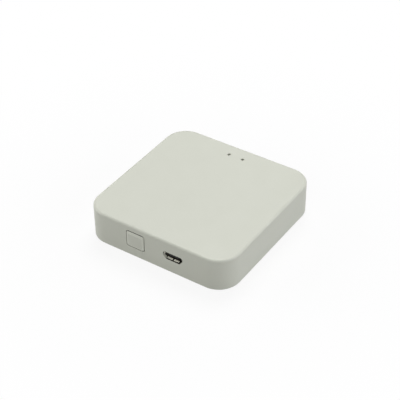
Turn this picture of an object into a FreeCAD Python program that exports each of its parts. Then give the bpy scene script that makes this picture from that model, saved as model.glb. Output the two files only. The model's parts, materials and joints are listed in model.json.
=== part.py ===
import FreeCAD, Part
import Sketcher
import math
import os
import re

from FreeCAD import Placement, Rotation, Vector

# Driving sizes of the hub, in millimetres
SIZES = {
    # Moulded housing
    "body_width": 60.0,
    "body_depth": 60.0,
    "body_height": 13.2,
    "corner_radius": 8.5,
    "wall": 1.8,
    "roof": 1.8,
    "top_round": 0.9,
    "bottom_bevel": 0.35,
    "opening_bevel": 0.15,
    # Bottom cover and its clips
    "cover_thickness": 1.6,
    "cover_gap": 0.1,
    "hook_offset": 12.0,
    "hook_width": 5.0,
    "hook_thickness": 1.2,
    "hook_gap": 0.15,
    "hook_reach": 0.5,
    "hook_catch": 6.0,
    "hook_head": 1.5,
    "hook_land": 0.3,
    "tab_offset": 18.0,
    "tab_catch": 0.5,
    "tab_board_gap": 0.4,
    "recess_gap": 0.2,
    "stop_offset": 5.0,
    "stop_width": 1.2,
    "stop_depth": 1.1,
    "stop_height": 2.0,
    "rib_width": 0.9,
    "rib_height": 0.8,
    # Rubber feet
    "foot_stand": 0.5,
    "foot_radius": 4.0,
    "foot_recess": 0.8,
    "foot_inset": 9.0,
    "foot_gap": 0.05,
    "foot_bevel": 0.25,
    # Circuit board and what holds it
    "board_room": 5.6,
    "board_thickness": 1.6,
    "board_side_gap": 1.7,
    "board_front_gap": 0.4,
    "board_corner": 5.0,
    "notch_depth": 1.5,
    "notch_gap": 0.6,
    "post_radius": 2.1,
    "post_inset": 3.2,
    "post_offset": 15.0,
    "pilot_radius": 0.8,
    "pilot_bite": 0.4,
    "thread_gap": 0.02,
    "screw_hole_radius": 1.1,
    "screw_head_radius": 1.75,
    "screw_head_height": 1.2,
    "screw_tip_gap": 0.2,
    "recess_arm": 2.0,
    "recess_blade": 0.45,
    "recess_depth": 0.7,
    "pin_radius": 0.95,
    "pin_gap": 0.05,
    "holder_radius": 1.5,
    "holder_gap": 0.1,
    "front_holder_offset": 18.5,
    "front_holder_inset": 5.8,
    # Push key
    "key_x": -7.7,
    "key_rise": 1.55,
    "key_width": 7.4,
    "key_height": 6.7,
    "key_gap": 0.18,
    "key_corner": 0.7,
    "key_bevel": 0.15,
    "key_border": 1.0,
    "key_border_drop": 0.15,
    "flange_side": 1.2,
    "flange_edge": 0.5,
    "flange_thickness": 0.8,
    "presser_radius": 1.2,
    "presser_length": 0.6,
    "guide_gap": 0.1,
    "guide_thickness": 1.0,
    "guide_depth": 2.0,
    "guide_lift": 0.4,
    # Side-push switch
    "switch_width": 6.0,
    "switch_depth": 3.0,
    "switch_height": 3.3,
    "frame_sheet": 0.2,
    "plunger_radius": 0.9,
    "plunger_gap": 0.05,
    "plunger_stand": 1.0,
    "collar_radius": 1.25,
    "collar_thickness": 0.5,
    "chamber_gap": 0.1,
    "dome_rise": 0.6,
    "dome_radius": 1.2,
    "dome_sheet": 0.1,
    "terminal_length": 0.8,
    "terminal_width": 1.0,
    "terminal_sheet": 0.2,
    # Micro-USB socket
    "socket_x": 8.15,
    "shell_width": 7.5,
    "shell_height": 2.5,
    "shell_length": 5.6,
    "shell_sheet": 0.28,
    "shell_chamfer": 1.1,
    "shell_shoulder": 0.35,
    "lip_depth": 0.7,
    "lip_flare": 0.2,
    "lip_seam": 0.3,
    "socket_recess": 0.2,
    "cutout_gap": 0.28,
    "leg_width": 1.0,
    "leg_gap": 0.2,
    "leg_inset": 1.4,
    "leg_pitch": 1.6,
    "leg_stand": 0.2,
    "insulator_depth": 1.8,
    "tongue_width": 4.4,
    "tongue_thickness": 0.6,
    "tongue_recess": 0.7,
    "tongue_lift": 0.15,
    "contact_width": 0.3,
    "contact_pitch": 0.65,
    "contact_sheet": 0.15,
    "contact_tip": 0.3,
    "contact_stand": 0.3,
    "contact_foot": 0.7,
    # Status lights
    "light_x": -0.6,
    "light_spacing": 5.93,
    "light_inset": 5.8,
    "pinhole_radius": 0.65,
    "lamp_length": 2.0,
    "lamp_width": 1.25,
    "lamp_base": 0.3,
    "lens_length": 1.2,
    "lens_height": 0.5,
    "guide_air": 0.3,
    "pipe_radius": 1.2,
    "tip_radius": 0.57,
    "tip_reach": 0.6,
    "bridge_length": 13.0,
    "bridge_width": 3.2,
    "bridge_thickness": 1.0,
    "peg_radius": 0.75,
    "peg_gap": 0.05,
    "peg_stand": 0.4,
    "peg_spacing": 10.0,
    # Radio modules
    "module_inset": 5.9,
    "module_thickness": 0.8,
    "wifi_width": 16.0,
    "wifi_length": 24.0,
    "wifi_y": 7.0,
    "wifi_shield_width": 13.0,
    "wifi_shield_length": 14.0,
    "wifi_shield_height": 2.2,
    "radio_width": 15.0,
    "radio_length": 20.0,
    "radio_y": 8.0,
    "radio_shield_width": 12.0,
    "radio_shield_length": 12.0,
    "radio_shield_height": 2.0,
    "shield_sheet": 0.2,
    "shield_bevel": 0.15,
    "shield_inset": 1.5,
    "pad_width": 0.8,
    "pad_depth": 0.4,
    "pad_pitch": 2.0,
    "chip_side": 5.0,
    "chip_height": 0.85,
    "flash_length": 3.9,
    "flash_width": 3.0,
    "flash_height": 0.9,
    "crystal_length": 3.2,
    "crystal_width": 2.5,
    "crystal_height": 0.7,
    # Power supply and small parts
    "converter_length": 2.9,
    "converter_width": 1.6,
    "converter_height": 1.1,
    "lead_reach": 0.6,
    "lead_width": 0.4,
    "lead_pitch": 0.95,
    "lead_sheet": 0.15,
    "inductor_side": 4.0,
    "inductor_height": 2.0,
    "inductor_corner": 0.8,
    "bulk_length": 3.2,
    "bulk_width": 1.6,
    "bulk_height": 1.5,
    "cap_end": 0.45,
    "cap_skin": 0.04,
    "diode_length": 2.8,
    "diode_width": 1.8,
    "diode_height": 1.2,
    "fuse_height": 0.7,
    "small_length": 1.6,
    "small_width": 0.8,
    "resistor_height": 0.45,
    "capacitor_height": 0.8,
    "small_pitch": 2.4,
    "power_inset": 11.5,
    "supply_inset": 7.3,
    "diode_inset": 3.8,
    "converter_x": 2.0,
    "inductor_x": 7.2,
    "bulk_x": 13.0,
    "fuse_x": 8.15,
    "diode_x": 14.7,
    "row_x": -10.0,
    "resistor_inset": 10.0,
    "capacitor_inset": 14.0,
}

# Levels and lines that follow from the driving sizes
LINES = {
    "underside": "foot_stand",
    "body_top": "underside + body_height",
    "roof_inside": "body_top - roof",
    "cover_top": "underside + cover_thickness",
    "board_top": "roof_inside - board_room",
    "board_bottom": "board_top - board_thickness",
    "post_height": "board_bottom - cover_top",
    "tab_head": "post_height - tab_board_gap - tab_catch",
    "front_face": "-body_depth / 2",
    "inner_x": "body_width / 2 - wall",
    "inner_y": "body_depth / 2 - wall",
    "inner_radius": "corner_radius - wall",
    "board_side": "inner_x - board_side_gap",
    "board_back": "inner_y - board_side_gap",
    "board_front": "-inner_y + board_front_gap",
    "post_x": "board_side - post_inset",
    "key_z": "board_top + key_rise",
    "key_rim": "front_face + key_border_drop",
    "flange_width": "key_width + 2 * flange_side",
    "flange_height": "key_height + 2 * flange_edge",
    "flange_back": "-inner_y + flange_thickness",
    "presser_tip": "flange_back + presser_length",
    "switch_front": "presser_tip + plunger_stand",
    "chamber_depth": "collar_thickness + dome_rise",
    "dome_apex": "switch_front + frame_sheet + collar_thickness",
    "dome_sphere": "(dome_radius * dome_radius + dome_rise * dome_rise) / (2 * dome_rise)",
    "socket_mouth": "front_face + socket_recess",
    "lip_back": "socket_mouth + lip_depth",
    "socket_z": "board_top + shell_height / 2",
    "shell_back": "socket_mouth + shell_length",
    "leg_line": "board_front + leg_inset",
    "tongue_z": "socket_z + tongue_lift",
    "contact_top": "tongue_z - tongue_thickness / 2",
    "light_y": "body_depth / 2 - light_inset",
    "lamp_top": "board_top + lamp_base + lens_height",
    "module_top": "board_top + module_thickness",
    "wifi_x": "-(board_side - module_inset - wifi_width / 2)",
    "wifi_shield_y": "wifi_y - wifi_length / 2 + shield_inset + wifi_shield_length / 2",
    "radio_x": "board_side - module_inset - radio_width / 2",
    "radio_shield_y": "radio_y - radio_length / 2 + shield_inset + radio_shield_length / 2",
    "front_holder_y": "board_front + front_holder_inset",
    "power_line": "board_front + power_inset",
    "supply_line": "board_front + supply_inset",
    "diode_line": "board_front + diode_inset",
}

# How many there are of each repeated form
CONTACTS = 5
WIFI_PADS = 8
RADIO_PADS = 7
CHIPS_IN_ROW = 6

# How near an edge is to a level that it counts as lying in
SAME_LEVEL = 0.001

doc = FreeCAD.newDocument("IrrigationHub")
sheet = doc.addObject("Spreadsheet::Sheet", "Sizes")
for row, (size_name, size) in enumerate(SIZES.items(), start=1):
    sheet.set(f"A{row}", size_name)
    sheet.set(f"B{row}", str(size))
    sheet.setAlias(f"B{row}", size_name)
doc.recompute()

parts = []


# Formulas

def spell_out(match):
    """Turn one word of a formula into the cell or line it stands for."""
    word = match.group()
    if word in LINES:
        return "(" + formula(LINES[word]) + ")"
    if word in SIZES:
        return "Sizes." + word
    return word


def formula(text):
    """Spell a formula out in the sheet's cells."""
    return re.sub(r"[a-z][a-z_]*", spell_out, text)


def number(text):
    """Work a formula out now, for a first shape that its formula then drives."""
    return float(sheet.evalExpression(formula(text)))


def bind(item, **properties):
    """Drive an object's properties by formulas."""
    for name, text in properties.items():
        item.setExpression(name, formula(text))


def place(item, x, y, z):
    """Drive an object's place by formulas."""
    for axis, text in zip("xyz", (x, y, z)):
        item.setExpression(f"Placement.Base.{axis}", formula(text))


def keep(item, label):
    """Name an object as one piece of the hub."""
    item.Label = label
    parts.append(item)
    return item


# Sketches

def sketch_on(body, plane, offset="0"):
    """Start a sketch on one of a body's own planes, moved along the plane's normal."""
    sketch = body.newObject("Sketcher::SketchObject", body.Name + "_sketch")
    support = next(item for item in body.Origin.OriginFeatures if item.Role == plane)
    sketch.AttachmentSupport = [(support, "")]
    sketch.MapMode = "FlatFace"
    bind(sketch, **{"AttachmentOffset.Base.z": offset})
    return sketch


def fix(sketch, kind, *where, size):
    """Add a constraint whose value is a formula."""
    index = sketch.addConstraint(Sketcher.Constraint(kind, *where, number(size)))
    bind(sketch, **{f"Constraints[{index}]": size})


def add_circle(sketch, x, y, radius):
    circle = Part.Circle(Vector(number(x), number(y), 0), Vector(0, 0, 1), number(radius))
    index = sketch.addGeometry(circle)
    fix(sketch, "Radius", index, size=radius)
    fix(sketch, "DistanceX", -1, 1, index, 3, size=x)
    fix(sketch, "DistanceY", -1, 1, index, 3, size=y)


def add_polygon(sketch, corners):
    """Draw a closed outline whose corners are pairs of formulas."""
    points = [Vector(number(x), number(y), 0) for x, y in corners]
    first = sketch.GeometryCount
    for start, end in zip(points, points[1:] + points[:1]):
        sketch.addGeometry(Part.LineSegment(start, end))
    for index, (x, y) in enumerate(corners):
        following = first + (index + 1) % len(corners)
        sketch.addConstraint(Sketcher.Constraint("Coincident", first + index, 2, following, 1))
        fix(sketch, "DistanceX", -1, 1, first + index, 1, size=x)
        fix(sketch, "DistanceY", -1, 1, first + index, 1, size=y)


def add_rectangle(sketch, x, y, length, width):
    """Draw a rectangle about its centre."""
    left = f"{x} - ({length}) / 2"
    right = f"{x} + ({length}) / 2"
    near = f"{y} - ({width}) / 2"
    far = f"{y} + ({width}) / 2"
    add_polygon(sketch, [(left, near), (right, near), (right, far), (left, far)])


def add_rounded_rectangle(sketch, x, y, length, width, radius):
    """Draw a rectangle with round corners about its centre."""
    right = number(f"{x} + ({length}) / 2")
    far = number(f"{y} + ({width}) / 2")
    left = right - number(length)
    near = far - number(width)
    turn = number(radius)
    lines = [
        (Vector(left + turn, near, 0), Vector(right - turn, near, 0)),
        (Vector(right, near + turn, 0), Vector(right, far - turn, 0)),
        (Vector(right - turn, far, 0), Vector(left + turn, far, 0)),
        (Vector(left, far - turn, 0), Vector(left, near + turn, 0)),
    ]
    centres = [
        Vector(right - turn, near + turn, 0),
        Vector(right - turn, far - turn, 0),
        Vector(left + turn, far - turn, 0),
        Vector(left + turn, near + turn, 0),
    ]
    quarter = math.pi / 2
    sides = []
    corners = []
    for index in range(4):
        start, end = lines[index]
        sides.append(sketch.addGeometry(Part.LineSegment(start, end)))
        circle = Part.Circle(centres[index], Vector(0, 0, 1), turn)
        begin = (index - 1) * quarter
        corners.append(sketch.addGeometry(Part.ArcOfCircle(circle, begin, begin + quarter)))
    for index in range(4):
        following = sides[(index + 1) % 4]
        sketch.addConstraint(Sketcher.Constraint("Tangent", sides[index], 2, corners[index], 1))
        sketch.addConstraint(Sketcher.Constraint("Tangent", corners[index], 2, following, 1))
        direction = "Horizontal" if index % 2 == 0 else "Vertical"
        sketch.addConstraint(Sketcher.Constraint(direction, sides[index]))
    for corner in corners[1:]:
        sketch.addConstraint(Sketcher.Constraint("Equal", corners[0], corner))
    fix(sketch, "Radius", corners[0], size=radius)
    fix(sketch, "DistanceX", sides[3], 1, sides[1], 1, size=length)
    fix(sketch, "DistanceY", sides[0], 1, sides[2], 1, size=width)
    fix(sketch, "DistanceX", -1, 1, sides[1], 1, size=f"{x} + ({length}) / 2")
    fix(sketch, "DistanceY", -1, 1, sides[2], 1, size=f"{y} + ({width}) / 2")


# Features

def pad(body, sketch, length, reverse=False):
    """Raise a sketch and check that it adds material."""
    before = body.Shape.Volume if body.Tip else 0.0
    feature = body.newObject("PartDesign::Pad", body.Name + "_pad")
    feature.Profile = sketch
    feature.Reversed = reverse
    bind(feature, Length=length)
    doc.recompute()
    if feature.Shape.isNull() or feature.Shape.Volume <= before:
        raise RuntimeError(f"{feature.Name} adds nothing")


def pocket(body, sketch, length, reverse=False):
    """Cut a sketch and check that it removes material."""
    before = body.Shape.Volume
    feature = body.newObject("PartDesign::Pocket", body.Name + "_pocket")
    feature.Profile = sketch
    feature.Reversed = reverse
    bind(feature, Length=length)
    doc.recompute()
    if feature.Shape.isNull() or feature.Shape.Volume >= before:
        raise RuntimeError(f"{feature.Name} cuts nothing")


def loft(body, lower, upper):
    """Add a straight-sided form between two sketches."""
    before = body.Shape.Volume
    feature = body.newObject("PartDesign::AdditiveLoft", upper.Name + "_loft")
    feature.Profile = lower
    feature.Sections = [upper]
    feature.Ruled = True
    doc.recompute()
    if feature.Shape.isNull() or feature.Shape.Volume <= before:
        raise RuntimeError(f"{feature.Name} adds nothing")


def edges_in_plane(shape, axis, level):
    """Name the edges that lie in the plane at a level on an axis."""
    names = []
    for index, edge in enumerate(shape.Edges, start=1):
        box = edge.BoundBox
        low = getattr(box, axis + "Min")
        high = getattr(box, axis + "Max")
        if abs(low - level) < SAME_LEVEL and abs(high - level) < SAME_LEVEL:
            names.append(f"Edge{index}")
    return names


def bevel_opening(body, x, z, width, height):
    """Bevel the rim of an opening in the front face, found within a frame about it."""
    tip = body.Tip
    names = []
    for name in edges_in_plane(tip.Shape, "Y", number("front_face")):
        centre = tip.Shape.getElement(name).BoundBox.Center
        aside = abs(centre.x - number(x)) - number(width) / 2
        above = abs(centre.z - number(z)) - number(height) / 2
        if max(aside, above) < SAME_LEVEL:
            names.append(name)
    feature = body.newObject("PartDesign::Chamfer", body.Name + "_rim")
    feature.Base = (tip, names)
    bind(feature, Size="opening_bevel")
    doc.recompute()


def round_over(body, axis, level, radius):
    """Round the edges that lie at a level on an axis."""
    tip = body.Tip
    names = edges_in_plane(tip.Shape, axis, number(level))
    feature = body.newObject("PartDesign::Fillet", body.Name + "_round")
    feature.Base = (tip, names)
    bind(feature, Radius=radius)
    doc.recompute()


def bevel(body, axis, level, width):
    """Bevel the edges that lie at a level on an axis."""
    tip = body.Tip
    names = edges_in_plane(tip.Shape, axis, number(level))
    feature = body.newObject("PartDesign::Chamfer", body.Name + "_bevel")
    feature.Base = (tip, names)
    bind(feature, Size=width)
    doc.recompute()


def box(name, x, y, z, length, width, height):
    """Make a block from the centre of its underside."""
    block = doc.addObject("Part::Box", name)
    bind(block, Length=length, Width=width, Height=height)
    place(block, f"{x} - ({length}) / 2", f"{y} - ({width}) / 2", z)
    return block


def cylinder(name, x, y, z, radius, height, towards="up"):
    """Make a cylinder from the centre of its lower or front end."""
    rod = doc.addObject("Part::Cylinder", name)
    bind(rod, Radius=radius, Height=height)
    if towards == "back":
        rod.Placement = Placement(Vector(0, 0, 0), Rotation(Vector(1, 0, 0), -90))
    place(rod, x, y, z)
    return rod


def fuse(name, shapes):
    joined = doc.addObject("Part::MultiFuse", name)
    joined.Shapes = shapes
    joined.Refine = True
    return joined


def cut(name, base, tool):
    rest = doc.addObject("Part::Cut", name)
    rest.Base = base
    rest.Tool = tool
    rest.Refine = True
    return rest


def group(name, shapes):
    """Gather separate solids of one kind in one piece."""
    gathered = doc.addObject("Part::Compound", name)
    gathered.Links = shapes
    return gathered


def extrude(name, plane_turn, corners, start, length):
    """Raise an outline from a start along the normal of its turned plane."""
    sketch = doc.addObject("Sketcher::SketchObject", name + "_outline")
    add_polygon(sketch, corners)
    body = doc.addObject("Part::Extrusion", name)
    body.Base = sketch
    body.DirMode = "Custom"
    body.Dir = Vector(0, 0, 1)
    body.Solid = True
    bind(body, LengthFwd=length)
    body.Placement = Placement(Vector(0, 0, 0), plane_turn)
    place(body, *start)
    return body


def new_body(label):
    body = doc.addObject("PartDesign::Body", label)
    return keep(body, label)


def all_signs():
    return [(x, y) for x in ("-", "") for y in ("-", "")]


# The mouth of the socket: wide side up, lower corners cut off, grown or shrunk all round
def socket_corners(growth):
    half = f"(shell_width / 2 + ({growth}))"
    chamfer = f"(shell_chamfer + (2 - sqrt(2)) * ({growth}))"
    shoulder = f"(shell_shoulder + (2 - sqrt(2)) * ({growth}))"
    top = f"socket_z + shell_height / 2 + ({growth})"
    bottom = f"socket_z - shell_height / 2 - ({growth})"
    return [
        (f"socket_x - {half} + {chamfer}", bottom),
        (f"socket_x + {half} - {chamfer}", bottom),
        (f"socket_x + {half}", f"{bottom} + {chamfer}"),
        (f"socket_x + {half}", f"{top} - {shoulder}"),
        (f"socket_x + {half} - {shoulder}", top),
        (f"socket_x - {half} + {shoulder}", top),
        (f"socket_x - {half}", f"{top} - {shoulder}"),
        (f"socket_x - {half}", f"{bottom} + {chamfer}"),
    ]


# Where the lamps and their pinholes are, left and right
LIGHTS = {
    "left": "light_x - light_spacing / 2",
    "right": "light_x + light_spacing / 2",
}

# The sides in the order of their quarter turns from the right one, and how far each wall is
SIDES = ("right", "back", "left", "front")
WALL_LINES = {"right": "inner_x", "back": "inner_y", "left": "inner_x", "front": "inner_y"}
QUARTER_TURN = Rotation(Vector(1, 0, 0), Vector(0, 1, 0))

# The turn of an outline that is drawn from the right, with back and up as its two ways
SIDE_ON = Rotation(Vector(0, 1, 0), Vector(0, 0, 1), Vector(1, 0, 0), "ZXY")


# Upper housing
def make_top_housing():
    body = new_body("top_housing")
    outline = sketch_on(body, "XY_Plane", "underside")
    add_rounded_rectangle(outline, "0", "0", "body_width", "body_depth", "corner_radius")
    pad(body, outline, "body_height")
    round_over(body, "Z", "body_top", "top_round")
    bevel(body, "Z", "underside", "bottom_bevel")

    cavity = sketch_on(body, "XY_Plane", "underside")
    add_rounded_rectangle(cavity, "0", "0", "2 * inner_x", "2 * inner_y", "inner_radius")
    pocket(body, cavity, "body_height - roof", reverse=True)

    # Window for the key
    window = sketch_on(body, "XZ_Plane", "-front_face")
    add_rounded_rectangle(
        window, "key_x", "key_z", "key_width + 2 * key_gap", "key_height + 2 * key_gap",
        "key_corner + key_gap",
    )
    pocket(body, window, "wall")
    bevel_opening(
        body, "key_x", "key_z", "key_width + 2 * key_gap", "key_height + 2 * key_gap",
    )

    # Cut-out for the socket
    mouth = sketch_on(body, "XZ_Plane", "-front_face")
    add_polygon(mouth, socket_corners("cutout_gap"))
    pocket(body, mouth, "wall")

    # Pinholes for the lights
    pinholes = sketch_on(body, "XY_Plane", "body_top")
    for x in LIGHTS.values():
        add_circle(pinholes, x, "light_y", "pinhole_radius")
    pocket(body, pinholes, "roof")

    # Pegs for the light guide
    pegs = sketch_on(body, "XY_Plane", "roof_inside")
    for side in ("-", "+"):
        add_circle(pegs, f"light_x {side} peg_spacing / 2", "light_y", "peg_radius")
    pad(body, pegs, "bridge_thickness + peg_stand", reverse=True)

    # Pillars that hold the board down
    holders = sketch_on(body, "XY_Plane", "roof_inside")
    for side in ("-", ""):
        add_circle(holders, f"{side}post_x", "0", "holder_radius")
        add_circle(holders, f"{side}front_holder_offset", "front_holder_y", "holder_radius")
    pad(body, holders, "roof_inside - board_top - holder_gap", reverse=True)

    # Ribs on both sides of the key's flange
    guides = sketch_on(body, "XY_Plane", "roof_inside")
    for side in ("-", "+"):
        reach = "(flange_width / 2 + guide_gap + guide_thickness / 2)"
        add_rectangle(
            guides, f"key_x {side} {reach}", "-inner_y + guide_depth / 2 - wall / 4",
            "guide_thickness", "guide_depth + wall / 2",
        )
    pad(body, guides, "roof_inside - board_top - guide_lift", reverse=True)

    # Stops that rest on the cover
    stops = sketch_on(body, "XY_Plane", "cover_top")
    for side in ("-", ""):
        for offset in ("-stop_offset", "stop_offset"):
            add_rectangle(
                stops, f"{side}(inner_x - stop_depth / 2 + wall / 4)", offset,
                "stop_depth + wall / 2", "stop_width",
            )
    for offset in ("-stop_offset", "stop_offset"):
        add_rectangle(
            stops, offset, "inner_y - stop_depth / 2 + wall / 4",
            "stop_width", "stop_depth + wall / 2",
        )
    pad(body, stops, "stop_height")

    # Recesses that the hooks snap into
    recesses = sketch_on(body, "XY_Plane", "cover_top + hook_catch")
    width = "hook_width + 2 * recess_gap"
    depth = "hook_reach + recess_gap"
    for offset in ("-hook_offset", "hook_offset"):
        for side in ("-", ""):
            add_rectangle(recesses, f"{side}(inner_x + ({depth}) / 2)", offset, depth, width)
        add_rectangle(recesses, offset, f"inner_y + ({depth}) / 2", width, depth)
    pocket(body, recesses, "hook_head + recess_gap", reverse=True)

    # Recesses that the front tabs tuck into
    tucks = sketch_on(body, "XY_Plane", "cover_top + tab_catch")
    for offset in ("-tab_offset", "tab_offset"):
        add_rectangle(tucks, offset, f"-(inner_y + ({depth}) / 2)", width, depth)
    pocket(body, tucks, "tab_head + recess_gap", reverse=True)


# One springy clip of the cover: a blade with a nose that points outwards
def make_clip(name, side, offset, catch, head):
    quarters = SIDES.index(side)
    wall_line = WALL_LINES[side]
    outer = f"{wall_line} - hook_gap"
    inner = f"{wall_line} - hook_gap - hook_thickness"
    nose = f"{wall_line} + hook_reach"
    top = f"cover_top + {catch} + {head}"
    profile = [
        (inner, "cover_top - cover_thickness / 2"),
        (outer, "cover_top - cover_thickness / 2"),
        (outer, f"cover_top + {catch}"),
        (nose, f"cover_top + {catch}"),
        (nose, f"cover_top + {catch} + hook_land"),
        (outer, top),
        (inner, top),
    ]
    upright = Rotation(Vector(1, 0, 0), 90)
    turned = upright
    for _ in range(quarters):
        turned = QUARTER_TURN.multiply(turned)
    edge = f"({offset} + hook_width / 2)"
    starts = [("0", edge, "0"), (f"-{edge}", "0", "0"), ("0", f"-{edge}", "0"), (edge, "0", "0")]
    return extrude(name, turned, profile, starts[quarters], "hook_width")


# Bottom cover
def make_base_cover():
    body = doc.addObject("PartDesign::Body", "cover_plate")
    outline = sketch_on(body, "XY_Plane", "underside")
    add_rounded_rectangle(
        outline, "0", "0", "2 * (inner_x - cover_gap)", "2 * (inner_y - cover_gap)",
        "inner_radius - cover_gap",
    )
    pad(body, outline, "cover_thickness")

    # Low ribs between the posts
    ribs = sketch_on(body, "XY_Plane", "cover_top")
    for side in ("-", ""):
        add_rectangle(ribs, "0", f"{side}post_offset", "2 * post_x", "rib_width")
    pad(body, ribs, "rib_height")

    # Posts under the board
    posts = sketch_on(body, "XY_Plane", "cover_top")
    for x, y in all_signs():
        add_circle(posts, f"{x}post_x", f"{y}post_offset", "post_radius")
    pad(body, posts, "post_height")

    # Pins on one diagonal
    pins = sketch_on(body, "XY_Plane", "board_bottom")
    add_circle(pins, "post_x", "-post_offset", "pin_radius")
    add_circle(pins, "-post_x", "post_offset", "pin_radius")
    pad(body, pins, "board_thickness")

    # Screw pilots on the other diagonal
    pilots = sketch_on(body, "XY_Plane", "board_bottom")
    add_circle(pilots, "post_x", "post_offset", "pilot_radius")
    add_circle(pilots, "-post_x", "-post_offset", "pilot_radius")
    pocket(body, pilots, "post_height + pilot_bite")

    # Recesses for the feet
    recesses = sketch_on(body, "XY_Plane", "underside")
    for x, y in all_signs():
        add_circle(
            recesses, f"{x}(body_width / 2 - foot_inset)", f"{y}(body_depth / 2 - foot_inset)",
            "foot_radius + foot_gap",
        )
    pocket(body, recesses, "foot_recess", reverse=True)

    clips = []
    for side in ("right", "back", "left"):
        for end, offset in (("near", "-hook_offset"), ("far", "hook_offset")):
            name = f"clip_{side}_{end}"
            clips.append(make_clip(name, side, offset, "hook_catch", "hook_head"))
    for end, offset in (("near", "-tab_offset"), ("far", "tab_offset")):
        clips.append(make_clip(f"tab_{end}", "front", offset, "tab_catch", "tab_head"))
    keep(fuse("base_cover_solid", [body] + clips), "base_cover")


# Rubber feet
def make_feet():
    for x_name, x in (("left", "-"), ("right", "")):
        for y_name, y in (("front", "-"), ("back", "")):
            name = f"foot_{y_name}_{x_name}"
            body = new_body(name)
            disc = sketch_on(body, "XY_Plane")
            centre = (f"{x}(body_width / 2 - foot_inset)", f"{y}(body_depth / 2 - foot_inset)")
            add_circle(disc, *centre, "foot_radius")
            pad(body, disc, "foot_stand + foot_recess")
            bevel(body, "Z", "0", "foot_bevel")


# Circuit board
def make_main_board():
    body = new_body("main_board")
    outline = sketch_on(body, "XY_Plane", "board_bottom")
    add_rounded_rectangle(
        outline, "0", "(board_back + board_front) / 2", "2 * board_side",
        "board_back - board_front", "board_corner",
    )
    pad(body, outline, "board_thickness")

    # Notch for the key's flange, mounting holes and slots for the socket's legs
    openings = sketch_on(body, "XY_Plane", "board_top")
    add_rectangle(
        openings, "key_x", "board_front + notch_depth / 2 - wall / 2",
        "flange_width + 2 * notch_gap", "notch_depth + wall",
    )
    add_circle(openings, "post_x", "post_offset", "screw_hole_radius")
    add_circle(openings, "-post_x", "-post_offset", "screw_hole_radius")
    add_circle(openings, "post_x", "-post_offset", "pin_radius + pin_gap")
    add_circle(openings, "-post_x", "post_offset", "pin_radius + pin_gap")
    for x, y in leg_places():
        add_rectangle(openings, x, y, "shell_sheet + 2 * leg_gap", "leg_width + 2 * leg_gap")
    pocket(body, openings, "board_thickness")


def make_board_screws():
    screws = []
    for name, sign in (("back", ""), ("front", "-")):
        x = f"{sign}post_x"
        y = f"{sign}post_offset"
        head = cylinder(f"head_{name}", x, y, "board_top", "screw_head_radius", "screw_head_height")
        shank = cylinder(
            f"shank_{name}", x, y, "cover_top + screw_tip_gap",
            "pilot_radius - thread_gap", "board_top - cover_top - screw_tip_gap",
        )
        recess_z = "board_top + screw_head_height - recess_depth"
        blades = [
            box(f"slot_along_{name}", x, y, recess_z, "recess_arm", "recess_blade", "recess_depth"),
            box(f"slot_across_{name}", x, y, recess_z, "recess_blade", "recess_arm", "recess_depth"),
        ]
        solid = fuse(f"screw_blank_{name}", [head, shank])
        screws.append(cut(f"screw_{name}", solid, fuse(f"cross_{name}", blades)))
    keep(group("screw_pair", screws), "board_screws")


# Push key
def make_reset_key():
    body = new_body("reset_key")
    rim = sketch_on(body, "XZ_Plane", "-key_rim")
    add_rounded_rectangle(rim, "key_x", "key_z", "key_width", "key_height", "key_corner")
    pad(body, rim, "wall - key_border_drop", reverse=True)
    bevel(body, "Y", "key_rim", "key_bevel")

    # Raised face that slopes down to the rim all round
    foot = sketch_on(body, "XZ_Plane", "-key_rim")
    add_rounded_rectangle(
        foot, "key_x", "key_z", "key_width - 2 * key_bevel", "key_height - 2 * key_bevel",
        "key_corner - key_bevel",
    )
    face = sketch_on(body, "XZ_Plane", "-front_face")
    add_rounded_rectangle(
        face, "key_x", "key_z", "key_width - 2 * key_border", "key_height - 2 * key_border", "key_corner / 2",
    )
    loft(body, foot, face)

    flange = sketch_on(body, "XZ_Plane", "inner_y")
    add_rectangle(flange, "key_x", "key_z", "flange_width", "flange_height")
    pad(body, flange, "flange_thickness", reverse=True)

    presser = sketch_on(body, "XZ_Plane", "-flange_back")
    add_circle(presser, "key_x", "key_z", "presser_radius")
    pad(body, presser, "presser_length", reverse=True)


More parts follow.
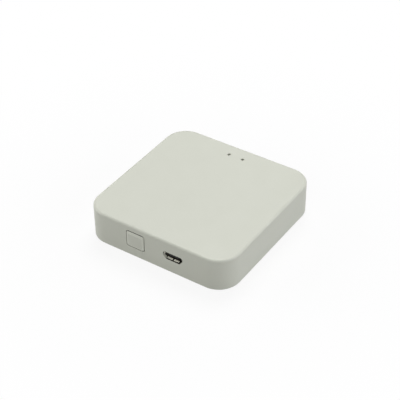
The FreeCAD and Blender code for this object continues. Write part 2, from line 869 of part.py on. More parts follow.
# Side-push switch
def make_switch():
    base_y = "(switch_front + frame_sheet + switch_depth / 2)"
    block = box(
        "switch_block", "key_x", base_y, "board_top",
        "switch_width", "switch_depth", "switch_height - frame_sheet",
    )
    chamber = cylinder(
        "switch_chamber", "key_x", "switch_front + frame_sheet", "key_z",
        "collar_radius + chamber_gap", "chamber_depth", "back",
    )
    keep(cut("switch_body", block, chamber), "switch_base")

    front = box(
        "frame_front", "key_x", "switch_front + frame_sheet / 2", "board_top",
        "switch_width", "frame_sheet", "switch_height",
    )
    roof = box(
        "frame_roof", "key_x", base_y, "board_top + switch_height - frame_sheet",
        "switch_width", "switch_depth", "frame_sheet",
    )
    opening = cylinder(
        "frame_opening", "key_x", "switch_front", "key_z",
        "plunger_radius + plunger_gap", "frame_sheet", "back",
    )
    keep(cut("frame_folded", fuse("frame_sheets", [front, roof]), opening), "switch_frame")

    stem = cylinder(
        "plunger_stem", "key_x", "presser_tip", "key_z",
        "plunger_radius", "plunger_stand + frame_sheet", "back",
    )
    collar = cylinder(
        "plunger_collar", "key_x", "switch_front + frame_sheet", "key_z",
        "collar_radius", "collar_thickness", "back",
    )
    keep(fuse("plunger_turned", [stem, collar]), "switch_plunger")

    outer = doc.addObject("Part::Sphere", "dome_outer")
    bind(outer, Radius="dome_sphere")
    inner = doc.addObject("Part::Sphere", "dome_inner")
    bind(inner, Radius="dome_sphere - dome_sheet")
    for ball in (outer, inner):
        place(ball, "key_x", "dome_apex + dome_sphere", "key_z")
    slice_back = cylinder(
        "dome_slice", "key_x", "dome_apex", "key_z", "dome_radius + dome_rise", "dome_rise", "back",
    )
    dome = doc.addObject("Part::Common", "dome_cap")
    dome.Base = cut("dome_skin", outer, inner)
    dome.Tool = slice_back
    keep(dome, "switch_dome")

    terminals = []
    for name, sign in (("left", "-"), ("right", "+")):
        terminals.append(box(
            f"terminal_{name}", f"key_x {sign} (switch_width / 2 + terminal_length / 2)",
            base_y, "board_top", "terminal_length", "terminal_width", "terminal_sheet",
        ))
    keep(group("terminal_pair", terminals), "switch_terminals")


# Micro-USB socket
def leg_places():
    """Say where the socket's four legs go through the board."""
    places = []
    for side in ("-", "+"):
        x = f"socket_x {side} (shell_width / 2 - shell_sheet / 2)"
        places.append((x, "leg_line"))
        places.append((x, "leg_line + leg_pitch"))
    return places


def lip_corners(start, face, outwards):
    """Corners of a lip's sheet, which leans outwards from a face of the shell to the mouth."""
    inwards = "-" if outwards == "+" else "+"
    inner = f"{face} {inwards} shell_sheet"
    return [
        (start, f"{face} {outwards} lip_flare"),
        (start, f"{inner} {outwards} lip_flare"),
        (f"{start} + lip_depth", inner),
        (f"{start} + lip_depth", face),
    ]


def make_lips():
    """Make the flared lips of the shell: two below, beside its seam, one above and one on each side."""
    bottom = "socket_z - shell_height / 2"
    top = "socket_z + shell_height / 2"
    seam_side = "shell_width / 2 - shell_chamfer - lip_seam / 2"
    lips = []
    for name, start, length in (
        ("lower_left", "socket_x - shell_width / 2 + shell_chamfer", seam_side),
        ("lower_right", "socket_x + lip_seam / 2", seam_side),
    ):
        corners = lip_corners("socket_mouth", bottom, "-")
        lips.append(extrude(f"lip_{name}", SIDE_ON, corners, (start, "0", "0"), length))
    lips.append(extrude(
        "lip_upper", SIDE_ON, lip_corners("socket_mouth", top, "+"),
        ("socket_x - shell_width / 2 + shell_shoulder", "0", "0"), "shell_width - 2 * shell_shoulder",
    ))
    for name, sign in (("left", "-"), ("right", "+")):
        corners = lip_corners("socket_mouth", f"socket_x {sign} shell_width / 2", sign)
        lips.append(extrude(
            f"lip_{name}", Rotation(), [(x, y) for y, x in corners], ("0", "0", f"{bottom} + shell_chamfer"),
            "shell_height - shell_chamfer - shell_shoulder",
        ))
    return lips


def make_usb_shell():
    body = doc.addObject("PartDesign::Body", "shell_tube")
    outside = sketch_on(body, "XZ_Plane", "-lip_back")
    add_polygon(outside, socket_corners("0"))
    pad(body, outside, "shell_length - lip_depth", reverse=True)
    inside = sketch_on(body, "XZ_Plane", "-lip_back")
    add_polygon(inside, socket_corners("-shell_sheet"))
    pocket(body, inside, "shell_length - lip_depth")
    legs = []
    for index, (x, y) in enumerate(leg_places(), start=1):
        foot = "board_bottom - leg_stand"
        legs.append(box(
            f"shell_leg_{index}", x, y, foot, "shell_sheet", "leg_width",
            f"board_top + shell_chamfer - ({foot}) + shell_sheet",
        ))
    keep(fuse("shell_folded", [body] + make_lips() + legs), "usb_shell")


def make_usb_inside():
    """Make the socket's insulator and the contacts that run through it."""
    leg_y = "(shell_back + contact_stand)"
    profile = [
        ("socket_mouth + tongue_recess + contact_tip", "contact_top"),
        ("socket_mouth + tongue_recess + contact_tip", "contact_top - contact_sheet"),
        (leg_y, "contact_top - contact_sheet"),
        (leg_y, "board_top"),
        (f"{leg_y} + contact_foot", "board_top"),
        (f"{leg_y} + contact_foot", "board_top + contact_sheet"),
        (f"{leg_y} + contact_sheet", "board_top + contact_sheet"),
        (f"{leg_y} + contact_sheet", "contact_top"),
    ]
    contacts = []
    for index in range(CONTACTS):
        x = f"socket_x + {index - (CONTACTS - 1) / 2} * contact_pitch - contact_width / 2"
        contacts.append(extrude(f"contact_{index + 1}", SIDE_ON, profile, (x, "0", "0"), "contact_width"))
    contact_set = group("contact_set", contacts)

    body = doc.addObject("PartDesign::Body", "insulator_blank")
    base = sketch_on(body, "XZ_Plane", "-shell_back")
    add_polygon(base, socket_corners("-shell_sheet"))
    pad(body, base, "insulator_depth")
    tongue = sketch_on(body, "XZ_Plane", "-(shell_back - insulator_depth)")
    add_rectangle(tongue, "socket_x", "tongue_z", "tongue_width", "tongue_thickness")
    pad(body, tongue, "shell_length - insulator_depth - tongue_recess")
    keep(cut("insulator", body, contact_set), "usb_insulator")
    keep(contact_set, "usb_contacts")


# Status lights
def make_lights():
    for side, x in LIGHTS.items():
        base = box(f"lamp_base_{side}", x, "light_y", "board_top", "lamp_length", "lamp_width", "lamp_base")
        lens = box(
            f"lamp_lens_{side}", x, "light_y", "board_top + lamp_base",
            "lens_length", "lamp_width", "lens_height",
        )
        keep(fuse(f"lamp_{side}", [base, lens]), f"status_led_{side}")

    body = new_body("light_guide")
    bridge = sketch_on(body, "XY_Plane", "roof_inside")
    add_rectangle(bridge, "light_x", "light_y", "bridge_length", "bridge_width")
    for side in ("-", "+"):
        add_circle(bridge, f"light_x {side} peg_spacing / 2", "light_y", "peg_radius + peg_gap")
    pad(body, bridge, "bridge_thickness", reverse=True)
    pipes = sketch_on(body, "XY_Plane", "roof_inside - bridge_thickness")
    tips = sketch_on(body, "XY_Plane", "roof_inside")
    for x in LIGHTS.values():
        add_circle(pipes, x, "light_y", "pipe_radius")
        add_circle(tips, x, "light_y", "tip_radius")
    pad(body, pipes, "roof_inside - bridge_thickness - lamp_top - guide_air", reverse=True)
    pad(body, tips, "tip_reach")


# A module's board with a row of plated notches along both long edges
def make_module_board(label, x, y, width, length, pads):
    body = new_body(label)
    outline = sketch_on(body, "XY_Plane", "board_top")
    add_rectangle(outline, x, y, width, length)
    pad(body, outline, "module_thickness")
    notches = sketch_on(body, "XY_Plane", "module_top")
    for side in ("-", "+"):
        for index in range(pads):
            add_rectangle(
                notches, f"{x} {side} {width} / 2",
                f"{y} + {index - (pads - 1) / 2} * pad_pitch", "2 * pad_depth", "pad_width",
            )
    pocket(body, notches, "module_thickness")


# A folded shield, open below
def make_shield(label, x, y, width, length, height):
    body = new_body(label)
    outline = sketch_on(body, "XY_Plane", "module_top")
    add_rectangle(outline, x, y, width, length)
    pad(body, outline, height)
    bevel(body, "Z", f"module_top + {height}", "shield_bevel")
    hollow = sketch_on(body, "XY_Plane", "module_top")
    add_rectangle(hollow, x, y, f"{width} - 2 * shield_sheet", f"{length} - 2 * shield_sheet")
    pocket(body, hollow, f"{height} - shield_sheet", reverse=True)


def make_modules():
    make_module_board("wifi_board", "wifi_x", "wifi_y", "wifi_width", "wifi_length", WIFI_PADS)
    make_shield(
        "wifi_shield", "wifi_x", "wifi_shield_y",
        "wifi_shield_width", "wifi_shield_length", "wifi_shield_height",
    )
    make_module_board(
        "radio_board", "radio_x", "radio_y", "radio_width", "radio_length", RADIO_PADS,
    )
    make_shield(
        "radio_shield", "radio_x", "radio_shield_y",
        "radio_shield_width", "radio_shield_length", "radio_shield_height",
    )
    for label, x, y in (("wifi", "wifi_x", "wifi_shield_y"), ("radio", "radio_x", "radio_shield_y")):
        chip = box(
            f"{label}_chip_block", f"{x} - chip_side / 2", f"{y}", "module_top",
            "chip_side", "chip_side", "chip_height",
        )
        keep(chip, f"{label}_chip")
        crystal = box(
            f"{label}_crystal_can", f"{x} + crystal_length", f"{y} - crystal_width", "module_top",
            "crystal_length", "crystal_width", "crystal_height",
        )
        keep(crystal, f"{label}_crystal")
    flash = box(
        "wifi_flash_block", "wifi_x + flash_length", "wifi_shield_y + flash_width", "module_top",
        "flash_width", "flash_length", "flash_height",
    )
    keep(flash, "wifi_flash")


# A block with a metal cap on each end
def make_capped_block(name, x, y, length, width, height):
    core = box(
        f"{name}_core", x, y, "board_top + cap_skin",
        length, f"{width} - 2 * cap_skin", f"{height} - 2 * cap_skin",
    )
    ends = []
    for side, sign in (("left", "-"), ("right", "+")):
        ends.append(box(
            f"{name}_cap_{side}", f"{x} {sign} ({length} / 2 - cap_end / 2)", y,
            "board_top", "cap_end", width, height,
        ))
    return fuse(name, [core] + ends)


# Power supply behind and beside the socket
def make_power_supply():
    body = box(
        "converter_block", "converter_x", "power_line", "board_top + lead_sheet",
        "converter_length", "converter_width", "converter_height - lead_sheet",
    )
    leads = []
    for index in (-1, 0, 1):
        leads.append(box(
            f"converter_lead_{index + 2}", f"converter_x + {index} * lead_pitch", "power_line",
            "board_top", "lead_width", "converter_width + 2 * lead_reach", "lead_sheet",
        ))
    keep(fuse("converter_solid", [body] + leads), "voltage_converter")

    coil = new_body("power_inductor")
    outline = sketch_on(coil, "XY_Plane", "board_top")
    add_rounded_rectangle(
        outline, "inductor_x", "power_line", "inductor_side", "inductor_side", "inductor_corner",
    )
    pad(coil, outline, "inductor_height")

    keep(make_capped_block(
        "bulk_in", "bulk_x", "supply_line", "bulk_length", "bulk_width", "bulk_height",
    ), "input_capacitor")
    keep(make_capped_block(
        "bulk_out", "bulk_x", "power_line", "bulk_length", "bulk_width", "bulk_height",
    ), "output_capacitor")
    keep(make_capped_block(
        "fuse_chip", "fuse_x", "supply_line", "bulk_length", "bulk_width", "fuse_height",
    ), "resettable_fuse")

    diode = box(
        "diode_block", "diode_x", "diode_line", "board_top + lead_sheet",
        "diode_length", "diode_width", "diode_height - lead_sheet",
    )
    tabs = box(
        "diode_tabs", "diode_x", "diode_line", "board_top",
        "diode_length + 2 * lead_reach", "diode_width / 2", "lead_sheet",
    )
    keep(fuse("diode_solid", [diode, tabs]), "surge_diode")


# Rows of small chips between the switch and the home network module
def make_small_parts():
    rows = (
        ("chip_resistors", "resistor_inset", "resistor_height"),
        ("chip_capacitors", "capacitor_inset", "capacitor_height"),
    )
    for label, inset, height in rows:
        chips = []
        for index in range(CHIPS_IN_ROW):
            chips.append(make_capped_block(
                f"{label}_{index + 1}",
                f"row_x + {index - (CHIPS_IN_ROW - 1) / 2} * small_pitch",
                f"board_front + {inset}", "small_length", "small_width", height,
            ))
        keep(group(f"{label}_row", chips), label)


def build_all():
    make_top_housing()
    make_base_cover()
    make_feet()
    make_main_board()
    make_board_screws()
    make_reset_key()
    make_switch()
    make_usb_shell()
    make_usb_inside()
    make_lights()
    make_modules()
    make_power_supply()
    make_small_parts()


def check_and_write():
    """Check every object, then write each piece to its own file."""
    doc.recompute()
    for item in doc.Objects:
        if "Invalid" in item.State or "Error" in item.State:
            raise RuntimeError(f"{item.Label} failed: {item.State}")
    for item in parts:
        if item.Shape.isNull() or not item.Shape.isValid():
            raise RuntimeError(f"{item.Label} has no valid shape")
    os.makedirs("parts", exist_ok=True)
    for item in parts:
        item.Shape.exportStep(f"parts/{item.Label}.step")
        print(item.Label, len(item.Shape.Solids), round(item.Shape.Volume, 3))


build_all()
check_and_write()
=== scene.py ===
import json
import math

import bmesh
import bpy
from mathutils import Matrix, Vector

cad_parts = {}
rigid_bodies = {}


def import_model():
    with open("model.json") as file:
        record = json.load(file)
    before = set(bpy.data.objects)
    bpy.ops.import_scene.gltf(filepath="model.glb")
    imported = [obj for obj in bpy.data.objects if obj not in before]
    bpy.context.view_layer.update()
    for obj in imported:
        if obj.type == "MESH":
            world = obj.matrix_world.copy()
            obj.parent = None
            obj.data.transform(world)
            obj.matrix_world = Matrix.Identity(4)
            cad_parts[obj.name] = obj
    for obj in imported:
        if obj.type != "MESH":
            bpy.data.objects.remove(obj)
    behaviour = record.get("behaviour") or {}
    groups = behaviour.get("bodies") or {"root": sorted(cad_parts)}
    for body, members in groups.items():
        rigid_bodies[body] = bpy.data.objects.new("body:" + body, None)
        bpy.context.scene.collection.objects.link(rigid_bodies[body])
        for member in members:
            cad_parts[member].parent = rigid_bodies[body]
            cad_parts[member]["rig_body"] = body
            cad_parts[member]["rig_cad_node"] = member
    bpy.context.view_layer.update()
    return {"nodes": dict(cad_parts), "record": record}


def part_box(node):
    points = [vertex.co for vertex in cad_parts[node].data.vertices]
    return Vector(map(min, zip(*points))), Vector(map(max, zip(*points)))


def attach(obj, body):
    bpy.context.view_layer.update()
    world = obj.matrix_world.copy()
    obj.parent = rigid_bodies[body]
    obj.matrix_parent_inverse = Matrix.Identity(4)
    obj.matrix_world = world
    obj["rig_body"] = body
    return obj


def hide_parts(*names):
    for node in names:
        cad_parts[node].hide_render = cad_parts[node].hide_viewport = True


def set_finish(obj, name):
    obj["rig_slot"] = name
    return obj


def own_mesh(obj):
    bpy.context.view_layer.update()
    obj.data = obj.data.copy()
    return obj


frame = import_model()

MM = 0.001

# Places on the hub, from the middle of its footprint, and sizes of its pieces, in millimetres.
# Tapers, steps of the lips and the thread's root are shares.
FRONT = -30.0
WALL = 1.8

KEY_MIDDLE = (-7.79, 7.76)
KEY_SIZE = (7.46, 6.52)
KEY_CORNER = 0.7
KEY_RIM = -29.82
KEY_BORDER = 0.55
KEY_BROW = 1.1
KEY_ROUNDING = 0.2
# Depth behind the key's rim within which faces looking up are painted dark as shade.
KEY_SHADE_DEPTH = 0.45
# Depth behind the key's rim within which the border is painted lighter as a highlight.
KEY_HIGHLIGHT_DEPTH = 0.25
FLANGE_SIZE = (9.8, 7.7)
FLANGE_THICKNESS = 0.8
PRESSER_REACH = 0.6
PRESSER_LENGTH = 0.7
PRESSER_RADIUS = 1.2
PRESSER_ROUNDING = 0.1
DOME_EDGE = 0.02

FOOT_PLACE = 21.0
FOOT_RADIUS = 4.0
FOOT_HEIGHT = 1.3
FOOT_ROUNDING = 0.28
DISH_BORDER = 0.9
DISH_STEP = 0.1
DISH_DEPTH = 0.08

CUTOUT_MIDDLE = (8.15, 7.55)
CUTOUT_REACH = (4.1, 1.6)
SOCKET_MIDDLE = (8.15, 7.66)
SOCKET_SIZE = (7.5, 2.5)
SOCKET_MOUTH = -29.8
SOCKET_BACK = -24.2
SHELL_SHEET = 0.28
SHELL_CHAMFER = 1.1
SHELL_FOLD = 0.3
SHELL_TOP_FOLD = 0.42
SHELL_EDGE = 0.03
LIP_BACK = -29.2
LIP_BELOW = 0.13
LIP_ABOVE = 0.12
LIP_BESIDE = 0.16
LIP_STEPS = (0.3, 0.7)
SEAM = 0.1
NOTCH = 0.6
LATCH_PLACE = 1.75
LATCH_WINDOW = 1.2
WINDOW_FRONT = SOCKET_MOUTH + 1.6
WINDOW_BACK = SOCKET_BACK - 1.2
LATCH_WIDTH = 0.9
LATCH_TOP = 0.06
LATCH_BOTTOM = 0.26
LATCH_BEND = 0.22
LATCH_CORNER = 0.15
LEG_PLACES = (-26.4, -24.8)
LEG_LENGTH = 1.0
LEG_TAPER = 0.6
LEG_BELOW = 0.2
LEG_ABOVE = 1.38

SHIELD_CORNER = 0.6
SHIELD_ROUNDING = 0.25
SHIELD_SHEET = 0.2
SHIELD_STEPS = ((1.0, 0), (0.06, 0.08))  # border and depth of each step of the sunk field

SCREW_PLACES = {"screw_back": (23.3, 15.0), "screw_front": (-23.3, -15.0)}
HEAD_RADIUS = 1.75
HEAD_HEIGHT = 1.2
HEAD_ROUNDING = 0.55
RECESS_LENGTH = 2.0
RECESS_WIDTH = 0.45
RECESS_BOTTOM = 0.5
RECESS_TAPER = 0.7
SHANK_RADIUS = 0.78
SHANK_LENGTH = 4.0
SHANK_MIDDLE = 4.32
THREAD_START = 3.0
THREAD_PITCH = 0.36
THREAD_TURNS = 5
THREAD_ROOT = 0.84

BOARD_TOP = 6.3
BOARD_BOTTOM = 4.7
PAD_STEP = 2.0
PAD_SOLDER = (1.1, 0.8, 0.55)  # length, width and height of a fillet
LEG_SOLDER = (0.9, 1.3, 0.3)
END_SOLDER = 0.5
END_SOLDER_HEIGHT = 0.4
LEAD_SOLDER_HEIGHT = 0.15
CHIP_EDGE = 0.08
LEADED_EDGE = 0.05
CAPPED_EDGE = 0.02
CAP_SKIN = 0.04
LEAD_SHEET = 0.15
SLIVER = 0.0005

# Limits of the tests: how near a place counts as there, in millimetres, and how well a direction fits
CLOSE = 0.01
ALIGNED = 0.999
SHARP_ANGLE = math.radians(50)
SMOOTH_ANGLE = math.radians(35)
FLAT_ANGLE = math.radians(1)

SLOTS = {row["node"]: row["material_slot"] for row in frame["record"]["subparts"]}


# Selecting and editing

def pick(kind, test):
    """Select the faces or edges of the edited mesh that pass a test, and nothing else."""
    bpy.ops.mesh.select_mode(type=kind)
    bpy.ops.mesh.select_all(action="DESELECT")
    mesh = bmesh.from_edit_mesh(bpy.context.object.data)
    items = mesh.faces if kind == "FACE" else mesh.edges
    for item in items:
        item.select = test(item)
    mesh.select_flush_mode()
    bmesh.update_edit_mesh(bpy.context.object.data)


def middle(item):
    """The middle of a face or edge, in millimetres."""
    return sum((corner.co for corner in item.verts), Vector()) / len(item.verts) / MM


def faces_towards(direction, level=None):
    """Test for faces that look along a direction, and lie at a level on it if one is given."""
    way = Vector(direction)

    def test(face):
        if face.normal.dot(way) < ALIGNED:
            return False
        return level is None or abs(middle(face).dot(way) - level) < CLOSE

    return test


def edges_along(direction):
    """Test for edges that run along a direction."""
    way = Vector(direction)

    def test(edge):
        run = edge.verts[1].co - edge.verts[0].co
        return abs(run.normalized().dot(way)) > ALIGNED

    return test


def edges_at(axis, level):
    """Test for edges whose both ends lie at a level on an axis, in millimetres."""
    return lambda edge: all(abs(corner.co[axis] / MM - level) < CLOSE for corner in edge.verts)


def round_edges(test, width, segments):
    pick("EDGE", test)
    bpy.ops.mesh.bevel(offset=width * MM, segments=segments, profile=0.5, affect="EDGES")


def begin_block(name, low, high):
    """Add a block between two corners and open it for editing."""
    bpy.ops.object.select_all(action="DESELECT")
    centre = [(a + b) / 2 * MM for a, b in zip(low, high)]
    size = [(b - a) * MM for a, b in zip(low, high)]
    bpy.ops.mesh.primitive_cube_add(size=1, location=centre)
    piece = bpy.context.object
    piece.name = name
    piece.scale = size
    bpy.ops.object.transform_apply(location=True, rotation=True, scale=True)
    bpy.ops.object.mode_set(mode="EDIT")
    return piece


def begin_rod(name, centre, radius, length, towards="up", sides=32):
    """Add a rod about a centre and open it for editing."""
    bpy.ops.object.select_all(action="DESELECT")
    turn = (math.pi / 2, 0, 0) if towards == "back" else (0, 0, 0)
    bpy.ops.mesh.primitive_cylinder_add(
        vertices=sides, radius=radius * MM, depth=length * MM,
        location=[value * MM for value in centre], rotation=turn,
    )
    piece = bpy.context.object
    piece.name = name
    bpy.ops.object.transform_apply(location=True, rotation=True, scale=True)
    bpy.ops.object.mode_set(mode="EDIT")
    return piece


def join(name, pieces):
    """Join pieces into one and name it."""
    bpy.ops.object.select_all(action="DESELECT")
    for piece in pieces:
        piece.select_set(True)
    bpy.context.view_layer.objects.active = pieces[0]
    bpy.ops.object.join()
    joined = bpy.context.object
    joined.name = name
    joined.data.name = name
    return joined


def copy_piece(piece, name):
    """Copy a piece with its own mesh."""
    twin = piece.copy()
    twin.data = piece.data.copy()
    twin.name = name
    bpy.context.scene.collection.objects.link(twin)
    return twin


def cut_across(point, direction):
    """Bisect the selected faces of the edited mesh by a plane."""
    bpy.ops.mesh.bisect(plane_co=Vector(point) * MM, plane_no=direction, use_fill=False)


def apply_modifier(piece, kind, **settings):
    bpy.context.view_layer.objects.active = piece
    modifier = piece.modifiers.new(kind.title(), kind)
    for setting, value in settings.items():
        setattr(modifier, setting, value)
    bpy.ops.object.modifier_apply(modifier=modifier.name)


def soften_edges(piece, width):
    """Round the sharp edges of a piece a little."""
    apply_modifier(
        piece, "BEVEL", width=width * MM, segments=2, limit_method="ANGLE", angle_limit=SHARP_ANGLE,
    )


def end_piece(piece, material, body, slot, *nodes):
    """Smooth a finished piece, give it its finish and put it in the frame."""
    bpy.ops.object.select_all(action="DESELECT")
    piece.select_set(True)
    bpy.context.view_layer.objects.active = piece
    bpy.ops.object.shade_smooth_by_angle(angle=SMOOTH_ANGLE)
    piece.data.materials.clear()
    piece.data.materials.append(material)
    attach(piece, body)
    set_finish(piece, slot)
    if nodes:
        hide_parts(*nodes)
    return piece


# Node groups shared by the finishes

def new_group(name, inputs, outputs):
    """Start a node group from its inputs' names, kinds and first values, and its outputs' names and kinds."""
    tree = bpy.data.node_groups.new(name, "ShaderNodeTree")
    for label, kind, value in inputs:
        socket = tree.interface.new_socket(name=label, in_out="INPUT", socket_type=kind)
        socket.default_value = value
    for label, kind in outputs:
        tree.interface.new_socket(name=label, in_out="OUTPUT", socket_type=kind)
    return tree, tree.nodes.new("NodeGroupInput"), tree.nodes.new("NodeGroupOutput")


def math_node(tree, operation, first, second=None, clamp=False):
    """Add a Math node fed by sockets or plain values, and return its result."""
    node = tree.nodes.new("ShaderNodeMath")
    node.operation = operation
    node.use_clamp = clamp
    for socket, source in zip(node.inputs, (first, second)):
        if isinstance(source, bpy.types.NodeSocket):
            tree.links.new(source, socket)
        elif source is not None:
            socket.default_value = source
    return node.outputs[0]


def spread(tree, source, low, high, to_low=0.0, to_high=1.0):
    """Stretch a value from one range to another."""
    node = tree.nodes.new("ShaderNodeMapRange")
    node.inputs["From Min"].default_value = low
    node.inputs["From Max"].default_value = high
    node.inputs["To Min"].default_value = to_low
    node.inputs["To Max"].default_value = to_high
    tree.links.new(source, node.inputs["Value"])
    return node.outputs["Result"]


def noise(tree, place, scale, detail=2.0, roughness=0.5):
    node = tree.nodes.new("ShaderNodeTexNoise")
    node.inputs["Detail"].default_value = detail
    node.inputs["Roughness"].default_value = roughness
    tree.links.new(place, node.inputs["Vector"])
    if isinstance(scale, bpy.types.NodeSocket):
        tree.links.new(scale, node.inputs["Scale"])
    else:
        node.inputs["Scale"].default_value = scale
    return node.outputs["Fac"]


def make_moulded_grain():
    """Spark-eroded grain: fine pits for the bump, and a faint cloudy tone."""
    tree, given, result = new_group(
        "moulded_grain",
        [("Position", "NodeSocketVector", (0, 0, 0)), ("Grain Scale", "NodeSocketFloat", 5000.0)],
        [("Height", "NodeSocketFloat"), ("Tone", "NodeSocketFloat"), ("Sheen Patches", "NodeSocketFloat")],
    )
    place = given.outputs["Position"]
    grain = noise(tree, place, given.outputs["Grain Scale"], 3.0, 0.6)
    coarse = noise(tree, place, math_node(tree, "MULTIPLY", given.outputs["Grain Scale"], 0.22), 2.0)
    fine_share = math_node(tree, "MULTIPLY", grain, 0.7)
    coarse_share = math_node(tree, "MULTIPLY", coarse, 0.3)
    tree.links.new(math_node(tree, "ADD", fine_share, coarse_share), result.inputs["Height"])
    tree.links.new(noise(tree, place, 55.0, 3.0, 0.55), result.inputs["Tone"])
    tree.links.new(noise(tree, place, 140.0, 2.0, 0.6), result.inputs["Sheen Patches"])
    return tree


def make_edge_rub():
    """Mask of the edges that hands and cloths rub, broken up by noise."""
    tree, given, result = new_group(
        "edge_rub",
        [("Position", "NodeSocketVector", (0, 0, 0)), ("Width", "NodeSocketFloat", 0.0004)],
        [("Mask", "NodeSocketFloat")],
    )
    soft = tree.nodes.new("ShaderNodeBevel")
    soft.samples = 6
    tree.links.new(given.outputs["Width"], soft.inputs["Radius"])
    surface = tree.nodes.new("ShaderNodeNewGeometry")
    match = tree.nodes.new("ShaderNodeVectorMath")
    match.operation = "DOT_PRODUCT"
    tree.links.new(soft.outputs["Normal"], match.inputs[0])
    tree.links.new(surface.outputs["Normal"], match.inputs[1])
    turned = spread(tree, match.outputs["Value"], 0.995, 0.85)
    patches = spread(tree, noise(tree, given.outputs["Position"], 900.0, 3.0, 0.6), 0.35, 0.65)
    tree.links.new(math_node(tree, "MULTIPLY", turned, patches, clamp=True), result.inputs["Mask"])
    return tree


def make_settled_dust():
    """Mask of the dust that settles on faces that look up."""
    tree, given, result = new_group(
        "settled_dust",
        [("Position", "NodeSocketVector", (0, 0, 0)), ("Amount", "NodeSocketFloat", 0.2)],
        [("Mask", "NodeSocketFloat")],
    )
    surface = tree.nodes.new("ShaderNodeNewGeometry")
    parts = tree.nodes.new("ShaderNodeSeparateXYZ")
    tree.links.new(surface.outputs["Normal"], parts.inputs[0])
    upward = spread(tree, parts.outputs["Z"], 0.3, 1.0)
    specks = spread(tree, noise(tree, given.outputs["Position"], 1800.0, 2.0, 0.7), 0.6, 0.75)
    film = spread(tree, noise(tree, given.outputs["Position"], 90.0, 3.0), 0.3, 0.7, 0.2, 1.0)
    mask = math_node(tree, "MULTIPLY", math_node(tree, "MULTIPLY", upward, film), specks)
    mask = math_node(tree, "MULTIPLY", mask, given.outputs["Amount"], clamp=True)
    tree.links.new(mask, result.inputs["Mask"])
    return tree


def make_gap_shade():
    """Mask of painted shade in narrow gaps and inner corners, taken from ambient occlusion."""
    tree, given, result = new_group(
        "painted_gap_shade",
        [("Position", "NodeSocketVector", (0, 0, 0)), ("Reach", "NodeSocketFloat", 0.0006)],
        [("Mask", "NodeSocketFloat")],
    )
    open_sky = tree.nodes.new("ShaderNodeAmbientOcclusion")
    open_sky.samples = 8
    tree.links.new(given.outputs["Reach"], open_sky.inputs["Distance"])
    narrow = spread(tree, open_sky.outputs["AO"], 0.85, 0.35)
    patches = spread(tree, noise(tree, given.outputs["Position"], 700.0, 2.0, 0.6), 0.3, 0.7, 0.8, 1.0)
    tree.links.new(math_node(tree, "MULTIPLY", narrow, patches, clamp=True), result.inputs["Mask"])
    return tree


def make_rolled_metal():
    """Rolling marks of sheet metal: streaks along one way and a cloudy tarnish."""
    tree, given, result = new_group(
        "rolled_metal",
        [("Position", "NodeSocketVector", (0, 0, 0)), ("Streak Scale", "NodeSocketFloat", 2500.0)],
        [("Height", "NodeSocketFloat"), ("Tarnish", "NodeSocketFloat")],
    )
    stretch = tree.nodes.new("ShaderNodeMapping")
    stretch.inputs["Scale"].default_value = (1.0, 0.06, 1.0)
    tree.links.new(given.outputs["Position"], stretch.inputs["Vector"])
    streaks = noise(tree, stretch.outputs[0], given.outputs["Streak Scale"], 3.0, 0.6)
    tree.links.new(streaks, result.inputs["Height"])
    tree.links.new(noise(tree, given.outputs["Position"], 420.0, 4.0, 0.6), result.inputs["Tarnish"])
    return tree


GROUPS = {
    "grain": make_moulded_grain(),
    "rub": make_edge_rub(),
    "dust": make_settled_dust(),
    "gap_shade": make_gap_shade(),
    "metal": make_rolled_metal(),
}


# Finishes

def srgb(red, green, blue):
    """Turn a colour as seen, from 0 to 255, into the light that it reflects."""
    def light(value):
        value /= 255
        return value / 12.92 if value <= 0.04045 else ((value + 0.055) / 1.055) ** 2.4
    return (light(red), light(green), light(blue), 1.0)


def start_finish(name):
    """Start a material and return its tree, its shader and the position that its patterns read."""
    material = bpy.data.materials.new(name)
    material.use_nodes = True
    tree = material.node_tree
    shader = tree.nodes["Principled BSDF"]
    place = tree.nodes.new("ShaderNodeTexCoord").outputs["Object"]
    return material, tree, shader, place


def use_group(tree, kind, place, **values):
    """Place a shared group in a material with its own values."""
    node = tree.nodes.new("ShaderNodeGroup")
    node.node_tree = GROUPS[kind]
    tree.links.new(place, node.inputs["Position"])
    for label, value in values.items():
        node.inputs[label.replace("_", " ")].default_value = value
    return node


def blend_colours(tree, mask, first, second):
    """Mix two colours by a mask, each a socket or a plain value."""
    node = tree.nodes.new("ShaderNodeMix")
    node.data_type = "RGBA"
    for socket, source in ((node.inputs[0], mask), (node.inputs[6], first), (node.inputs[7], second)):
        if isinstance(source, bpy.types.NodeSocket):
            tree.links.new(source, socket)
        else:
            socket.default_value = source
    return node.outputs[2]


def add_bump(tree, shader, height, depth, strength):
    """Feed a height into the shader's normal, with its depth in micrometres."""
    bump = tree.nodes.new("ShaderNodeBump")
    bump.inputs["Strength"].default_value = strength
    bump.inputs["Distance"].default_value = depth * 1e-6
    tree.links.new(height, bump.inputs["Height"])
    tree.links.new(bump.outputs["Normal"], shader.inputs["Normal"])


